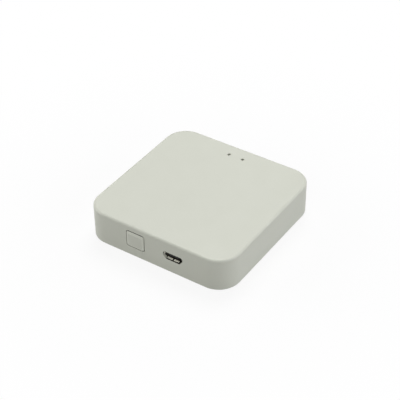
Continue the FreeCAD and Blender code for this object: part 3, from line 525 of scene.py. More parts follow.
def moulded_plastic(
    name, colour, roughness=0.5, grain=5000.0, depth=12.0, rubbed=None, dust=0.15, cloud=0.02, gap_shade=0.3,
):
    """Moulded plastic with a spark-eroded grain, rubbed edges, a little dust, and painted shade in its gaps.
    """
    material, tree, shader, place = start_finish(name)
    texture = use_group(tree, "grain", place, Grain_Scale=grain)
    rub = use_group(tree, "rub", place, Width=0.0004)
    settled = use_group(tree, "dust", place, Amount=dust)
    darker = tuple(channel * (1 - cloud) for channel in colour[:3]) + (1.0,)
    lighter = tuple(channel * (1 + cloud) for channel in colour[:3]) + (1.0,)
    tone = spread(tree, texture.outputs["Tone"], 0.3, 0.7)
    shade = blend_colours(tree, tone, darker, lighter)
    # Painted shade: the pits of the grain are a little darker in colour.
    pits = math_node(tree, "MULTIPLY", spread(tree, texture.outputs["Height"], 0.52, 0.3), 0.06)
    shade = blend_colours(tree, pits, shade, tuple(channel * 0.6 for channel in colour[:3]) + (1.0,))
    edge = rubbed or tuple(min(1.0, channel * 1.08) for channel in colour[:3]) + (1.0,)
    shade = blend_colours(tree, math_node(tree, "MULTIPLY", rub.outputs["Mask"], 0.5), shade, edge)
    shade = blend_colours(tree, settled.outputs["Mask"], shade, srgb(190, 187, 178))
    # Painted shade: the colour darkens in narrow gaps and inner corners.
    gap_shade_share = math_node(tree, "MULTIPLY", use_group(tree, "gap_shade", place, Reach=0.0006).outputs["Mask"], gap_shade)
    shade = blend_colours(tree, gap_shade_share, shade, srgb(52, 50, 42))
    tree.links.new(shade, shader.inputs["Base Color"])
    rough = spread(tree, texture.outputs["Sheen Patches"], 0.3, 0.7, roughness - 0.05, roughness + 0.06)
    rough = math_node(tree, "SUBTRACT", rough, math_node(tree, "MULTIPLY", rub.outputs["Mask"], 0.12))
    tree.links.new(rough, shader.inputs["Roughness"])
    shader.inputs["IOR"].default_value = 1.5
    add_bump(tree, shader, texture.outputs["Height"], depth, 0.6)
    return material


def sheet_metal(name, colour, tarnish, roughness=0.28, streaks=2500.0, depth=4.0, metallic=1.0):
    """Stamped sheet with rolling marks, tarnish and brighter rubbed edges."""
    material, tree, shader, place = start_finish(name)
    rolled = use_group(tree, "metal", place, Streak_Scale=streaks)
    rub = use_group(tree, "rub", place, Width=0.00015)
    dull = spread(tree, rolled.outputs["Tarnish"], 0.42, 0.75)
    shade = blend_colours(tree, math_node(tree, "MULTIPLY", dull, 0.6), colour, tarnish)
    bright = tuple(min(1.0, channel * 1.15) for channel in colour[:3]) + (1.0,)
    shade = blend_colours(tree, math_node(tree, "MULTIPLY", rub.outputs["Mask"], 0.6), shade, bright)
    tree.links.new(shade, shader.inputs["Base Color"])
    rough = spread(tree, rolled.outputs["Tarnish"], 0.3, 0.7, roughness - 0.06, roughness + 0.12)
    tree.links.new(rough, shader.inputs["Roughness"])
    shader.inputs["Metallic"].default_value = metallic
    add_bump(tree, shader, rolled.outputs["Height"], depth, 0.5)
    return material


def track_pattern(tree, place):
    """Copper under the solder mask, as two masks: straight tracks with steps, and a poured area."""
    bricks = tree.nodes.new("ShaderNodeTexBrick")
    bricks.offset = 0.5
    bricks.inputs["Scale"].default_value = 170.0
    bricks.inputs["Mortar Size"].default_value = 0.035
    bricks.inputs["Brick Width"].default_value = 1.4
    bricks.inputs["Row Height"].default_value = 0.28
    bricks.inputs["Color1"].default_value = (0, 0, 0, 1)
    bricks.inputs["Color2"].default_value = (0, 0, 0, 1)
    bricks.inputs["Mortar"].default_value = (1, 1, 1, 1)
    tree.links.new(place, bricks.inputs["Vector"])
    pour = spread(tree, noise(tree, place, 110.0, 0.0), 0.5, 0.51)
    return bricks.outputs["Color"], pour


def via_pattern(tree, place):
    """Round vias dotted over the board, as a mask."""
    cells = tree.nodes.new("ShaderNodeTexVoronoi")
    cells.inputs["Scale"].default_value = 260.0
    cells.inputs["Randomness"].default_value = 0.85
    tree.links.new(place, cells.inputs["Vector"])
    return spread(tree, cells.outputs["Distance"], 0.085, 0.07)


def circuit_laminate(name, mask_colour, track_colour, edge_colour):
    """Solder mask over glass laminate, with tracks, a copper pour and vias beneath it."""
    material, tree, shader, place = start_finish(name)
    tracks, pour = track_pattern(tree, place)
    vias = via_pattern(tree, place)
    rub = use_group(tree, "rub", place, Width=0.0002)
    weave = noise(tree, place, 2600.0, 2.0)
    shade = blend_colours(tree, math_node(tree, "MULTIPLY", pour, 0.55), mask_colour, track_colour)
    copper = math_node(tree, "MULTIPLY", math_node(tree, "SUBTRACT", 1.0, pour), tracks)
    shade = blend_colours(tree, copper, shade, track_colour)
    shade = blend_colours(tree, vias, shade, srgb(150, 128, 70))
    shade = blend_colours(tree, math_node(tree, "MULTIPLY", rub.outputs["Mask"], 0.7), shade, edge_colour)
    tree.links.new(shade, shader.inputs["Base Color"])
    rough = spread(tree, weave, 0.3, 0.7, 0.22, 0.34)
    tree.links.new(rough, shader.inputs["Roughness"])
    raised = math_node(tree, "MAXIMUM", copper, pour)
    copper_share = math_node(tree, "MULTIPLY", raised, 0.8)
    weave_share = math_node(tree, "MULTIPLY", weave, 0.2)
    add_bump(tree, shader, math_node(tree, "ADD", copper_share, weave_share), 30.0, 0.7)
    return material


def clear_moulding(name):
    """Clear plastic with flow lines and slightly frosted faces."""
    material, tree, shader, place = start_finish(name)
    texture = use_group(tree, "grain", place, Grain_Scale=1500.0)
    flow = spread(tree, texture.outputs["Tone"], 0.3, 0.7)
    shade = blend_colours(tree, flow, srgb(232, 236, 233), srgb(244, 247, 244))
    tree.links.new(shade, shader.inputs["Base Color"])
    rough = spread(tree, texture.outputs["Sheen Patches"], 0.3, 0.7, 0.06, 0.2)
    tree.links.new(rough, shader.inputs["Roughness"])
    shader.inputs["Transmission Weight"].default_value = 0.9
    shader.inputs["IOR"].default_value = 1.49
    add_bump(tree, shader, texture.outputs["Height"], 6.0, 0.3)
    return material


FINISHES = {
    "housing_plastic": moulded_plastic(
        "housing_plastic", srgb(212, 214, 201), roughness=0.5, grain=5200.0, depth=12.0,
        cloud=0.008, dust=0.04, gap_shade=0.5,
    ),
    "foot_rubber": moulded_plastic(
        "foot_rubber", srgb(44, 44, 45), roughness=0.78, grain=2600.0, depth=30.0,
        rubbed=srgb(78, 78, 78), cloud=0.12, dust=0.1,
    ),
    "circuit_board": circuit_laminate(
        "circuit_board", srgb(22, 92, 48), srgb(44, 128, 66), srgb(176, 168, 112),
    ),
    "module_board": circuit_laminate(
        "module_board", srgb(24, 24, 27), srgb(46, 46, 48), srgb(160, 150, 110),
    ),
    "zinc_screw": sheet_metal("zinc_screw", srgb(206, 208, 206), srgb(168, 166, 150), roughness=0.3),
    "clear_plastic": clear_moulding("clear_plastic"),
    "lamp_resin": moulded_plastic(
        "lamp_resin", srgb(232, 226, 186), roughness=0.25, grain=9000.0, depth=2.0, cloud=0.03, dust=0.0,
    ),
    "black_plastic": moulded_plastic(
        "black_plastic", srgb(10, 10, 11), roughness=0.62, grain=7000.0, depth=6.0,
        rubbed=srgb(34, 34, 34), cloud=0.1, dust=0.0,
    ),
    "steel_sheet": sheet_metal("steel_sheet", srgb(214, 210, 200), srgb(168, 158, 136), roughness=0.28),
    "tinned_sheet": sheet_metal("tinned_sheet", srgb(220, 220, 218), srgb(178, 180, 180), roughness=0.34),
    "gold_contact": sheet_metal("gold_contact", srgb(232, 190, 110), srgb(190, 140, 70), roughness=0.22),
    "chip_resin": moulded_plastic(
        "chip_resin", srgb(38, 38, 40), roughness=0.6, grain=8000.0, depth=8.0,
        rubbed=srgb(80, 80, 82), cloud=0.08, dust=0.1,
    ),
    "ferrite": moulded_plastic(
        "ferrite", srgb(62, 63, 66), roughness=0.65, grain=3000.0, depth=25.0,
        rubbed=srgb(105, 105, 108), cloud=0.15, dust=0.1,
    ),
    "ceramic": moulded_plastic(
        "ceramic", srgb(172, 146, 118), roughness=0.38, grain=6000.0, depth=5.0, cloud=0.06, dust=0.04,
    ),
}

# Finishes of single faces, with painted light: a painted highlight on the socket's lips, painted shade on
# their front edges and inside the tube, a painted highlight on the key's border, and painted shade on the
# key's top side and the socket's sill
# Painted highlight: a lighter, less metallic copy of the shell's steel for the inner faces of its lips.
HIGHLIGHT_STEEL = sheet_metal(
    "painted_highlight_lips", srgb(252, 251, 238), srgb(226, 222, 202), roughness=0.42, metallic=0.3,
)
# Painted shade: a near-black copy of the shell's steel for the front edges of its lips.
SHADED_EDGE_STEEL = sheet_metal("painted_shade_lip_edges", srgb(26, 25, 22), srgb(20, 19, 17), roughness=0.55)
# Painted shade: a darker copy of the shell's steel for the inner faces of its tube.
SHADED_INNER_STEEL = sheet_metal("painted_shade_tube", srgb(96, 94, 84), srgb(66, 64, 54), roughness=0.45)
# Painted highlight: a lighter, glossier copy of the housing plastic for the key's border.
HIGHLIGHT_PLASTIC = moulded_plastic(
    "painted_highlight_plastic", srgb(225, 227, 214), roughness=0.4, grain=5200.0, depth=5.0, cloud=0.008, dust=0.02,
)
# Painted shade: a dark copy of the housing plastic for faces that lie in shade, the key's top side and the
# socket's sill.
SHADED_PLASTIC = moulded_plastic(
    "painted_shade_plastic", srgb(80, 79, 72), roughness=0.6, grain=5200.0, depth=12.0,
    cloud=0.15, dust=0.0, gap_shade=0.7,
)


def finish_frame():
    """Give each node of the frame the finish of its slot, and paint shade on the sill of the socket's
    cut-out.
    """
    for name, node in frame["nodes"].items():
        node.data.materials.clear()
        node.data.materials.append(FINISHES[SLOTS[name]])
        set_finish(node, SLOTS[name])
    housing = frame["nodes"]["top_housing"]
    # The sill below the socket is painted dark as shade.
    housing.data.materials.append(SHADED_PLASTIC)
    for face in housing.data.polygons:
        spot = face.center / MM
        beside, above = abs(spot.x - CUTOUT_MIDDLE[0]), abs(spot.z - CUTOUT_MIDDLE[1])
        within = beside < CUTOUT_REACH[0] and above < CUTOUT_REACH[1]
        if within and face.normal.z > 0.9 and spot.y < FRONT + WALL:
            face.material_index = 1


# Pieces modelled by hand

def model_key():
    """The push key: a cap with a sloped border, wider above, on a flange with a round presser behind."""
    x, z = KEY_MIDDLE
    half_width, half_height = KEY_SIZE[0] / 2, KEY_SIZE[1] / 2
    inside = FRONT + WALL
    low = (x - half_width, KEY_RIM, z - half_height)
    high = (x + half_width, inside, z + half_height)
    cap = begin_block("key_cap", low, high)
    round_edges(edges_along((0, 1, 0)), KEY_CORNER, 6)
    pick("FACE", faces_towards((0, 1, 0)))
    bpy.ops.mesh.extrude_region_move()
    bpy.ops.transform.resize(value=(FLANGE_SIZE[0] / KEY_SIZE[0], 1, FLANGE_SIZE[1] / KEY_SIZE[1]))
    bpy.ops.mesh.extrude_region_move(TRANSFORM_OT_translate={"value": (0, FLANGE_THICKNESS * MM, 0)})
    # Split the cap's sides where the painted shade on its top side ends.
    pick("FACE", lambda face: abs(face.normal.y) < 0.5 and middle(face).y < inside)
    cut_across((0, KEY_RIM + KEY_SHADE_DEPTH, 0), (0, 1, 0))
    pick("FACE", faces_towards((0, -1, 0), -KEY_RIM))
    bpy.ops.mesh.extrude_region_move(TRANSFORM_OT_translate={"value": (0, (FRONT - KEY_RIM) * MM, 0)})
    mean_border = (KEY_BORDER + KEY_BROW) / 2
    bpy.ops.transform.resize(value=(1 - KEY_BORDER / half_width, 1, 1 - mean_border / half_height))
    bpy.ops.transform.translate(value=(0, 0, (KEY_BORDER - KEY_BROW) / 2 * MM))
    round_edges(edges_at(1, KEY_RIM), KEY_ROUNDING, 4)
    round_edges(edges_at(1, FRONT), KEY_ROUNDING, 3)
    bpy.ops.object.mode_set(mode="OBJECT")

    tip = inside + FLANGE_THICKNESS + PRESSER_REACH
    centre = (x, tip - PRESSER_LENGTH / 2, z)
    presser = begin_rod("key_presser", centre, PRESSER_RADIUS, PRESSER_LENGTH, towards="back")
    round_edges(edges_at(1, tip), PRESSER_ROUNDING, 3)
    bpy.ops.object.mode_set(mode="OBJECT")
    key = join("push_key", [cap, presser])
    end_piece(key, FINISHES["housing_plastic"], "key", "housing_plastic", "reset_key")
    key.data.materials.append(HIGHLIGHT_PLASTIC)
    key.data.materials.append(SHADED_PLASTIC)
    for face in key.data.polygons:
        depth = face.center.y / MM
        # Faces looking up near the rim are painted dark as shade.
        if face.normal.z > 0.7 and depth < KEY_RIM + KEY_SHADE_DEPTH:
            face.material_index = 2
        # The border near the rim is painted lighter as a highlight.
        elif depth < KEY_RIM + KEY_HIGHLIGHT_DEPTH and face.normal.y > -ALIGNED:
            face.material_index = 1


def model_foot(name, x, y):
    """A rubber foot with a rounded rim and a shallow dish that grips a smooth table."""
    foot = begin_rod(name, (x, y, FOOT_HEIGHT / 2), FOOT_RADIUS, FOOT_HEIGHT, sides=64)
    round_edges(edges_at(2, 0), FOOT_ROUNDING, 4)
    pick("FACE", faces_towards((0, 0, -1)))
    bpy.ops.mesh.inset(thickness=DISH_BORDER * MM)
    bpy.ops.mesh.inset(thickness=DISH_STEP * MM, depth=-DISH_DEPTH * MM)
    bpy.ops.object.mode_set(mode="OBJECT")
    end_piece(foot, FINISHES["foot_rubber"], "housing", "foot_rubber", name.replace("pad", "foot"))


def open_window(low_x, high_x, low_y, high_y, level):
    """Cut a rectangular window in the horizontal sheet at a level of the edited mesh."""
    for point, direction in (
        ((low_x, 0, 0), (1, 0, 0)), ((high_x, 0, 0), (1, 0, 0)),
        ((0, low_y, 0), (0, 1, 0)), ((0, high_y, 0), (0, 1, 0)),
    ):
        pick("FACE", lambda face: abs(middle(face).z - level) < CLOSE)
        cut_across(point, direction)

    def inside(face):
        spot = middle(face)
        within = low_x < spot.x < high_x and low_y < spot.y < high_y
        return within and abs(spot.z - level) < CLOSE

    pick("FACE", inside)
    bpy.ops.mesh.delete(type="FACE")


def bend_lip(test, outwards):
    """Draw the picked mouth edges out in two steps, so that they curve outwards to the mouth."""
    pick("EDGE", lambda edge: edges_at(1, LIP_BACK)(edge) and test(middle(edge)))
    half_way = (SOCKET_MOUTH - LIP_BACK) / 2
    for share in LIP_STEPS:
        step = Vector(outwards) * share + Vector((0, half_way, 0))
        bpy.ops.mesh.extrude_region_move(TRANSFORM_OT_translate={"value": step * MM})


def model_socket_shell():
    """The folded shell of the socket: flared lips, open seam below and two latch windows on top."""
    x, z = SOCKET_MIDDLE
    half_width, half_height = SOCKET_SIZE[0] / 2, SOCKET_SIZE[1] / 2
    low = (x - half_width, LIP_BACK, z - half_height)
    high = (x + half_width, SOCKET_BACK, z + half_height)
    shell = begin_block("socket_shell", low, high)
    along = edges_along((0, 1, 0))
    round_edges(lambda edge: along(edge) and middle(edge).z < z, SHELL_CHAMFER, 1)
    round_edges(lambda edge: along(edge) and middle(edge).z < z, SHELL_FOLD, 3)
    round_edges(lambda edge: along(edge) and middle(edge).z > high[2] - CLOSE, SHELL_TOP_FOLD, 4)
    pick("FACE", lambda face: abs(face.normal.y) > 0.9)
    bpy.ops.mesh.delete(type="FACE")

    bottom = low[2]
    open_window(x - SEAM / 2, x + SEAM / 2, LIP_BACK - 1, SOCKET_BACK + 1, bottom)
    for side in (-1, 1):
        pick("FACE", lambda face: abs(middle(face).z - bottom) < CLOSE)
        cut_across((x + side * NOTCH / 2, 0, 0), (1, 0, 0))
        low_x, high_x = (x + side * LATCH_PLACE + way * LATCH_WINDOW / 2 for way in (-1, 1))
        open_window(low_x, high_x, WINDOW_FRONT, WINDOW_BACK, high[2])
    bend_lip(lambda spot: abs(spot.z - bottom) < CLOSE and abs(spot.x - x) > NOTCH / 2, (0, 0, -LIP_BELOW))
    bend_lip(lambda spot: abs(spot.z - high[2]) < CLOSE, (0, 0, LIP_ABOVE))
    bend_lip(lambda spot: abs(spot.x - low[0]) < CLOSE, (-LIP_BESIDE, 0, 0))
    bend_lip(lambda spot: abs(spot.x - high[0]) < CLOSE, (LIP_BESIDE, 0, 0))
    bpy.ops.object.mode_set(mode="OBJECT")
    apply_modifier(shell, "SOLIDIFY", thickness=SHELL_SHEET * MM, offset=-1.0, use_even_offset=True)
    soften_edges(shell, SHELL_EDGE)

    pieces = [shell]
    for side in (-1, 1):
        latch_x = x + side * LATCH_PLACE
        latch = begin_block(
            f"latch_{side}",
            (latch_x - LATCH_WIDTH / 2, WINDOW_FRONT + 0.1, high[2] - LATCH_BOTTOM),
            (latch_x + LATCH_WIDTH / 2, WINDOW_BACK + 0.1, high[2] - LATCH_TOP),
        )
        pick("FACE", faces_towards((0, -1, 0)))
        bpy.ops.transform.translate(value=(0, 0, -LATCH_BEND * MM))
        round_edges(edges_along((0, 0, 1)), LATCH_CORNER, 3)
        bpy.ops.object.mode_set(mode="OBJECT")
        pieces.append(latch)
        for y in LEG_PLACES:
            leg_x = x + side * (half_width - SHELL_SHEET / 2)
            leg = begin_block(
                f"leg_{side}_{y}",
                (leg_x - SHELL_SHEET / 2, y - LEG_LENGTH / 2, BOARD_BOTTOM - LEG_BELOW),
                (leg_x + SHELL_SHEET / 2, y + LEG_LENGTH / 2, BOARD_TOP + LEG_ABOVE),
            )
            pick("FACE", faces_towards((0, 0, -1)))
            bpy.ops.transform.resize(value=(1, LEG_TAPER, 1))
            bpy.ops.object.mode_set(mode="OBJECT")
            pieces.append(leg)
    shell = join("socket_shell", pieces)
    end_piece(shell, FINISHES["steel_sheet"], "housing", "steel_sheet", "usb_shell")
    shell.data.materials.append(SHADED_EDGE_STEEL)
    shell.data.materials.append(HIGHLIGHT_STEEL)
    shell.data.materials.append(SHADED_INNER_STEEL)
    for face in shell.data.polygons:
        depth = face.center.y / MM
        outwards = face.center / MM - Vector((x, depth, z))
        # The lips' front edges are painted near black as shade.
        if face.normal.y < -0.6 and depth < LIP_BACK + 0.1:
            face.material_index = 1
        # The inner faces of the lips are painted lighter as a highlight.
        elif depth < LIP_BACK:
            face.material_index = 2
        # The inner faces of the tube behind the lips are painted darker as shade.
        elif outwards.dot(face.normal) < 0:
            face.material_index = 3


def model_shield(name, node):
    """A drawn shield: rounded corners, and a shallow sunk field on top that stiffens it."""
    low, high = (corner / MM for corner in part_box(node))
    shield = begin_block(name, low, high)
    round_edges(edges_along((0, 0, 1)), SHIELD_CORNER, 4)
    round_edges(edges_at(2, high.z), SHIELD_ROUNDING, 3)
    pick("FACE", faces_towards((0, 0, -1)))
    bpy.ops.mesh.delete(type="FACE")
    pick("FACE", faces_towards((0, 0, 1)))
    for border, depth in SHIELD_STEPS:
        share_x, share_y = (1 - 2 * border / (high[axis] - low[axis]) for axis in (0, 1))
        bpy.ops.mesh.extrude_region_move(TRANSFORM_OT_translate={"value": (0, 0, -depth * MM)})
        bpy.ops.transform.resize(value=(share_x, share_y, 1))
    bpy.ops.object.mode_set(mode="OBJECT")
    apply_modifier(shield, "SOLIDIFY", thickness=SHIELD_SHEET * MM, offset=-1.0, use_even_offset=True)
    end_piece(shield, FINISHES["tinned_sheet"], "housing", "tinned_sheet", node)


def model_screw(name, x, y):
    """A pan-head screw with a domed head, a cross recess and a turned shank."""
    head_top = BOARD_TOP + HEAD_HEIGHT
    head = begin_rod(f"{name}_head", (x, y, BOARD_TOP + HEAD_HEIGHT / 2), HEAD_RADIUS, HEAD_HEIGHT, sides=40)
    round_edges(edges_at(2, head_top), HEAD_ROUNDING, 5)
    bpy.ops.object.mode_set(mode="OBJECT")
    arms = []
    for length, width in ((RECESS_LENGTH, RECESS_WIDTH), (RECESS_WIDTH, RECESS_LENGTH)):
        arm = begin_block(
            f"{name}_arm_{length}",
            (x - length / 2, y - width / 2, BOARD_TOP + RECESS_BOTTOM),
            (x + length / 2, y + width / 2, BOARD_TOP + RECESS_BOTTOM + 1),
        )
        pick("FACE", faces_towards((0, 0, -1)))
        bpy.ops.transform.resize(value=(RECESS_TAPER, RECESS_TAPER, 1))
        bpy.ops.object.mode_set(mode="OBJECT")
        arms.append(arm)
    for arm in arms:
        apply_modifier(head, "BOOLEAN", operation="DIFFERENCE", object=arm, solver="EXACT")
    for arm in arms:
        bpy.data.objects.remove(arm)
    shank = begin_rod(f"{name}_shank", (x, y, SHANK_MIDDLE), SHANK_RADIUS, SHANK_LENGTH, sides=28)
    for turn in range(THREAD_TURNS):
        crest = THREAD_START + turn * THREAD_PITCH
        root = crest + THREAD_PITCH / 2
        for level in (crest, root):
            pick("FACE", lambda face: abs(face.normal.z) < 0.5)
            cut_across((0, 0, level), (0, 0, 1))
        pick("EDGE", edges_at(2, root))
        bpy.ops.transform.resize(value=(THREAD_ROOT, THREAD_ROOT, 1))
    bpy.ops.object.mode_set(mode="OBJECT")
    return [head, shank]


def model_screws():
    """Both screws of the board, as one piece."""
    pieces = []
    for name, (x, y) in SCREW_PLACES.items():
        pieces += model_screw(name, x, y)
    screws = join("cross_screws", pieces)
    end_piece(screws, FINISHES["zinc_screw"], "housing", "zinc_screw", "board_screws")


def model_solder(name, spots):
    """Fillets of solder: one drop is modelled, then copied to each spot with its own size."""
    bpy.ops.object.select_all(action="DESELECT")
    bpy.ops.mesh.primitive_uv_sphere_add(segments=12, ring_count=8, radius=0.5 * MM)
    drop = bpy.context.object
    bpy.ops.object.mode_set(mode="EDIT")
    pick("FACE", lambda face: True)
    bpy.ops.mesh.bisect(plane_co=(0, 0, 0), plane_no=(0, 0, 1), clear_inner=True, use_fill=True)
    pick("EDGE", edges_at(2, 0))
    bpy.ops.transform.resize(value=(1.2, 1.2, 1))
    bpy.ops.object.mode_set(mode="OBJECT")
    drops = []
    for index, (x, y, z, length, width, height) in enumerate(spots):
        twin = copy_piece(drop, f"{name}_{index}")
        twin.data.transform(Matrix.Diagonal((length, width, height * 2, 1)))
        twin.data.transform(Matrix.Translation(Vector((x, y, z)) * MM))
        drops.append(twin)
    bpy.data.objects.remove(drop)
    solder = join(name, drops)
    end_piece(solder, FINISHES["tinned_sheet"], "housing", "tinned_sheet")


def module_spots(node, count):
    """Where the solder of a module's edge pads goes: along both long sides, at even steps."""
    low, high = (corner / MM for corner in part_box(node))
    spots = []
    for x in (low.x, high.x):
        for index in range(count):
            y = (low.y + high.y) / 2 + (index - (count - 1) / 2) * PAD_STEP
            spots.append((x, y, BOARD_TOP, *PAD_SOLDER))
    return spots


def soften(node, width):
    """A copy of a node's mesh with merged faces and soft edges, and no slivers where a bevel runs out."""
    source = frame["nodes"][node]
    bpy.ops.object.select_all(action="DESELECT")
    soft = source.copy()
    soft.data = source.data.copy()
    soft.name = f"{node}_soft"
    soft.parent = None
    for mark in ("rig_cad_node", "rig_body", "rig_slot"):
        if mark in soft:
            del soft[mark]
    bpy.context.scene.collection.objects.link(soft)
    soft.select_set(True)
    bpy.context.view_layer.objects.active = soft
    bpy.ops.object.mode_set(mode="EDIT")
    bpy.ops.mesh.select_all(action="SELECT")
    bpy.ops.mesh.remove_doubles(threshold=SLIVER * MM)
    bpy.ops.mesh.dissolve_limited(angle_limit=FLAT_ANGLE)
    bpy.ops.mesh.customdata_custom_splitnormals_clear()
    bpy.ops.mesh.mark_sharp(clear=True)
    bpy.ops.object.mode_set(mode="OBJECT")
    soften_edges(soft, width)
    bpy.ops.object.mode_set(mode="EDIT")
    bpy.ops.mesh.select_all(action="SELECT")
    bpy.ops.mesh.dissolve_degenerate(threshold=SLIVER * MM)
    bpy.ops.mesh.remove_doubles(threshold=SLIVER * MM)
    bpy.ops.object.mode_set(mode="OBJECT")
    return end_piece(soft, FINISHES[SLOTS[node]], "housing", SLOTS[node], node)


def tin(piece, is_metal):
    """Give the faces of a piece whose corners pass a test the finish of tinned metal."""
    piece.data.materials.append(FINISHES["tinned_sheet"])
    for face in piece.data.polygons:
        if is_metal([piece.data.vertices[index].co / MM for index in face.vertices]):
            face.material_index = 1


def dress_capped_block(node):
    """A ceramic or resin block, or a row of them, whose metal ends stand a little proud of the middle."""
    low, high = (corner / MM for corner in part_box(node))
    skin = CAP_SKIN / 2

    def proud(corners):
        return any(
            spot[axis] < low[axis] + skin or spot[axis] > high[axis] - skin
            for spot in corners for axis in (1, 2)
        )

    tin(soften(node, CAPPED_EDGE), proud)


def dress_leaded_block(node):
    """A resin block whose flat leads lie on the board."""
    lead_top = BOARD_TOP + LEAD_SHEET + CLOSE
    tin(soften(node, LEADED_EDGE), lambda corners: all(spot.z < lead_top for spot in corners))


def dress_dome():
    """The sprung disc of the switch, softened and given a mesh of its own; it stays in its rest shape, though
    the real disc flattens towards its seat when the key is pressed.
    """
    dome = soften("switch_dome", DOME_EDGE)
    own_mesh(dome)


def end_spots(node, length, height):
    """Where solder goes at the two ends of a block."""
    low, high = (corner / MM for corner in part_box(node))
    across = (low.y + high.y) / 2
    return [(x, across, BOARD_TOP, length, high.y - low.y, height) for x in (low.x, high.x)]


# Room, lamps and camera

FLOOR_SIZE = 3.0
FLOOR_BOUNCE = (0.34, 0.34, 0.335, 1)
WHITE = (1, 1, 1, 1)
WORLD_FILL = 0.12

# The floor starts to turn white at the near distance, in metres, and is white at the far one
NEAR = 0.045
FAR = 0.12
NEAR_GLOW = 0.87

# Name, place and size of each lamp in metres, its power in watts and its tint
COOL = (0.98, 0.985, 1.03)
NEUTRAL = (1, 1, 1)
LAMPS = (
    ("top_softbox", (-0.16, 0.42, 0.8), 0.55, 4.9, NEUTRAL),
    ("front_softbox", (0.1, -0.5, 0.35), 0.4, 0.7, NEUTRAL),
    ("right_back_softbox", (0.55, 0.37, 0.2), 0.4, 1.05, COOL),
    ("right_softbox", (0.6, -0.1, 0.15), 0.4, 1.11, COOL),
    ("left_softbox", (-0.5, -0.33, 0.16), 0.4, 0.97, NEUTRAL),
    ("left_side_softbox", (-0.62, -0.08, 0.2), 0.4, 0.72, COOL),
    ("under_softbox", (0, 0, -0.6), 0.4, 1.2, NEUTRAL),
)

# The photograph's camera: angles in degrees, lengths in millimetres, focal length in its pixels
CAMERA_AZIMUTH = 34.216
CAMERA_ELEVATION = 38.261
CAMERA_ROLL = -0.808
CAMERA_DISTANCE = 430.144
CAMERA_RIGHT = -0.487
CAMERA_UP = 1.952
AIM_HEIGHT = 7.1
FOCAL_PIXELS = 1187.395
PHOTO_WIDTH = 400
SENSOR_WIDTH = 36.0


def seen_rays(tree):
    """The ray node, and 1 for rays of the view, of reflections and through clear pieces."""
    rays = tree.nodes.new("ShaderNodeLightPath")
    seen = math_node(tree, "MAXIMUM", rays.outputs["Is Camera Ray"], rays.outputs["Is Glossy Ray"])
    return rays, math_node(tree, "MAXIMUM", seen, rays.outputs["Is Transmission Ray"])


def mix_shaders(tree, share, first, second):
    """Mix two surfaces by a share."""
    node = tree.nodes.new("ShaderNodeMixShader")
    for socket, source in zip(node.inputs, (share, first, second)):
        tree.links.new(source, socket)
    return node.outputs[0]


def make_room():
    """A pale floor that keeps the soft shadow, turns white further out, and is clear from below."""
    bpy.ops.object.select_all(action="DESELECT")
    bpy.ops.mesh.primitive_plane_add(size=FLOOR_SIZE, location=(0, 0, 0))
    floor = bpy.context.object
    floor.name = "floor"
    material, tree, shader, place = start_finish("pale_floor")
    shader.inputs["Roughness"].default_value = 1.0
    shader.inputs["Specular IOR Level"].default_value = 0.0
    rays, seen = seen_rays(tree)
    tree.links.new(blend_colours(tree, seen, FLOOR_BOUNCE, WHITE), shader.inputs["Base Color"])
    distance = tree.nodes.new("ShaderNodeVectorMath")
    distance.operation = "LENGTH"
    tree.links.new(place, distance.inputs[0])
    white = spread(tree, distance.outputs["Value"], NEAR, FAR, NEAR_GLOW, 1.0)
    glow = tree.nodes.new("ShaderNodeEmission")
    lit = mix_shaders(tree, math_node(tree, "MULTIPLY", seen, white), shader.outputs[0], glow.outputs[0])
    below = tree.nodes.new("ShaderNodeNewGeometry")
    passing = math_node(tree, "MAXIMUM", below.outputs["Backfacing"], rays.outputs["Is Shadow Ray"])
    clear = tree.nodes.new("ShaderNodeBsdfTransparent")
    surface = mix_shaders(tree, passing, lit, clear.outputs[0])
    tree.links.new(surface, tree.nodes["Material Output"].inputs["Surface"])
    floor.data.materials.append(material)

    world = bpy.data.worlds.new("studio")
    bpy.context.scene.world = world
    world.use_nodes = True
    tree = world.node_tree
    sky = tree.nodes["Background"]
    rays, seen = seen_rays(tree)
    tree.links.new(spread(tree, seen, 0.0, 1.0, WORLD_FILL, 1.0), sky.inputs["Strength"])
    sky.inputs["Color"].default_value = WHITE


def light_studio():
    """Square soft lamps round the hub that look at its middle."""
    for name, place, size, power, tint in LAMPS:
        lamp = bpy.data.lights.new(name, "AREA")
        lamp.size = size
        lamp.energy = power
        lamp.color = tint
        holder = bpy.data.objects.new(name, lamp)
        bpy.context.scene.collection.objects.link(holder)
        holder.location = place
        holder.rotation_euler = (-Vector(place)).to_track_quat("-Z", "Y").to_euler()


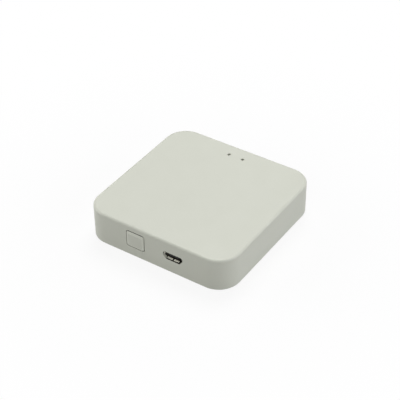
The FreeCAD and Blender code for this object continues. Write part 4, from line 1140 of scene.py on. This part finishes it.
def place_camera():
    """The camera of the photograph, fitted to the outline of the hub."""
    azimuth, elevation, roll = (
        math.radians(value) for value in (CAMERA_AZIMUTH, CAMERA_ELEVATION, CAMERA_ROLL)
    )
    back = Vector((
        math.sin(azimuth) * math.cos(elevation),
        -math.cos(azimuth) * math.cos(elevation),
        math.sin(elevation),
    ))
    level = Vector((math.cos(azimuth), math.sin(azimuth), 0))
    upright = back.cross(level)
    right = level * math.cos(roll) + upright * math.sin(roll)
    up = upright * math.cos(roll) - level * math.sin(roll)
    aim = Vector((0, 0, AIM_HEIGHT))
    place = (back * CAMERA_DISTANCE + right * CAMERA_RIGHT + up * CAMERA_UP + aim) * MM
    data = bpy.data.cameras.new("camera")
    data.sensor_width = SENSOR_WIDTH
    data.lens = SENSOR_WIDTH * FOCAL_PIXELS / PHOTO_WIDTH
    data.clip_start = 0.01
    data.clip_end = 20.0
    camera = bpy.data.objects.new("camera", data)
    bpy.context.scene.collection.objects.link(camera)
    camera.matrix_world = Matrix.Translation(place) @ Matrix((right, up, back)).transposed().to_4x4()
    bpy.context.scene.camera = camera


# The making, piece by piece

finish_frame()
model_key()
for end, y in (("front", -FOOT_PLACE), ("back", FOOT_PLACE)):
    for side, x in (("left", -FOOT_PLACE), ("right", FOOT_PLACE)):
        model_foot(f"pad_{end}_{side}", x, y)
model_socket_shell()
model_shield("wifi_cover", "wifi_shield")
model_shield("radio_cover", "radio_shield")
model_screws()
model_solder("wifi_solder", module_spots("wifi_board", count=8))
model_solder("radio_solder", module_spots("radio_board", count=7))
for node in ("wifi_chip", "wifi_flash", "wifi_crystal", "radio_chip", "radio_crystal", "power_inductor"):
    soften(node, CHIP_EDGE)
for node in ("voltage_converter", "surge_diode"):
    dress_leaded_block(node)
power_spots = end_spots("surge_diode", END_SOLDER, LEAD_SOLDER_HEIGHT)
for node in ("input_capacitor", "output_capacitor", "resettable_fuse"):
    dress_capped_block(node)
    power_spots += end_spots(node, END_SOLDER, END_SOLDER_HEIGHT)
for node in ("chip_resistors", "chip_capacitors"):
    dress_capped_block(node)
dress_dome()
model_solder("power_solder", power_spots)
model_solder("socket_solder", [
    (SOCKET_MIDDLE[0] + side * (SOCKET_SIZE[0] - SHELL_SHEET) / 2, y, BOARD_TOP, *LEG_SOLDER)
    for side in (-1, 1) for y in LEG_PLACES
])
make_room()
light_studio()
place_camera()

bpy.context.scene.view_settings.view_transform = "Standard"
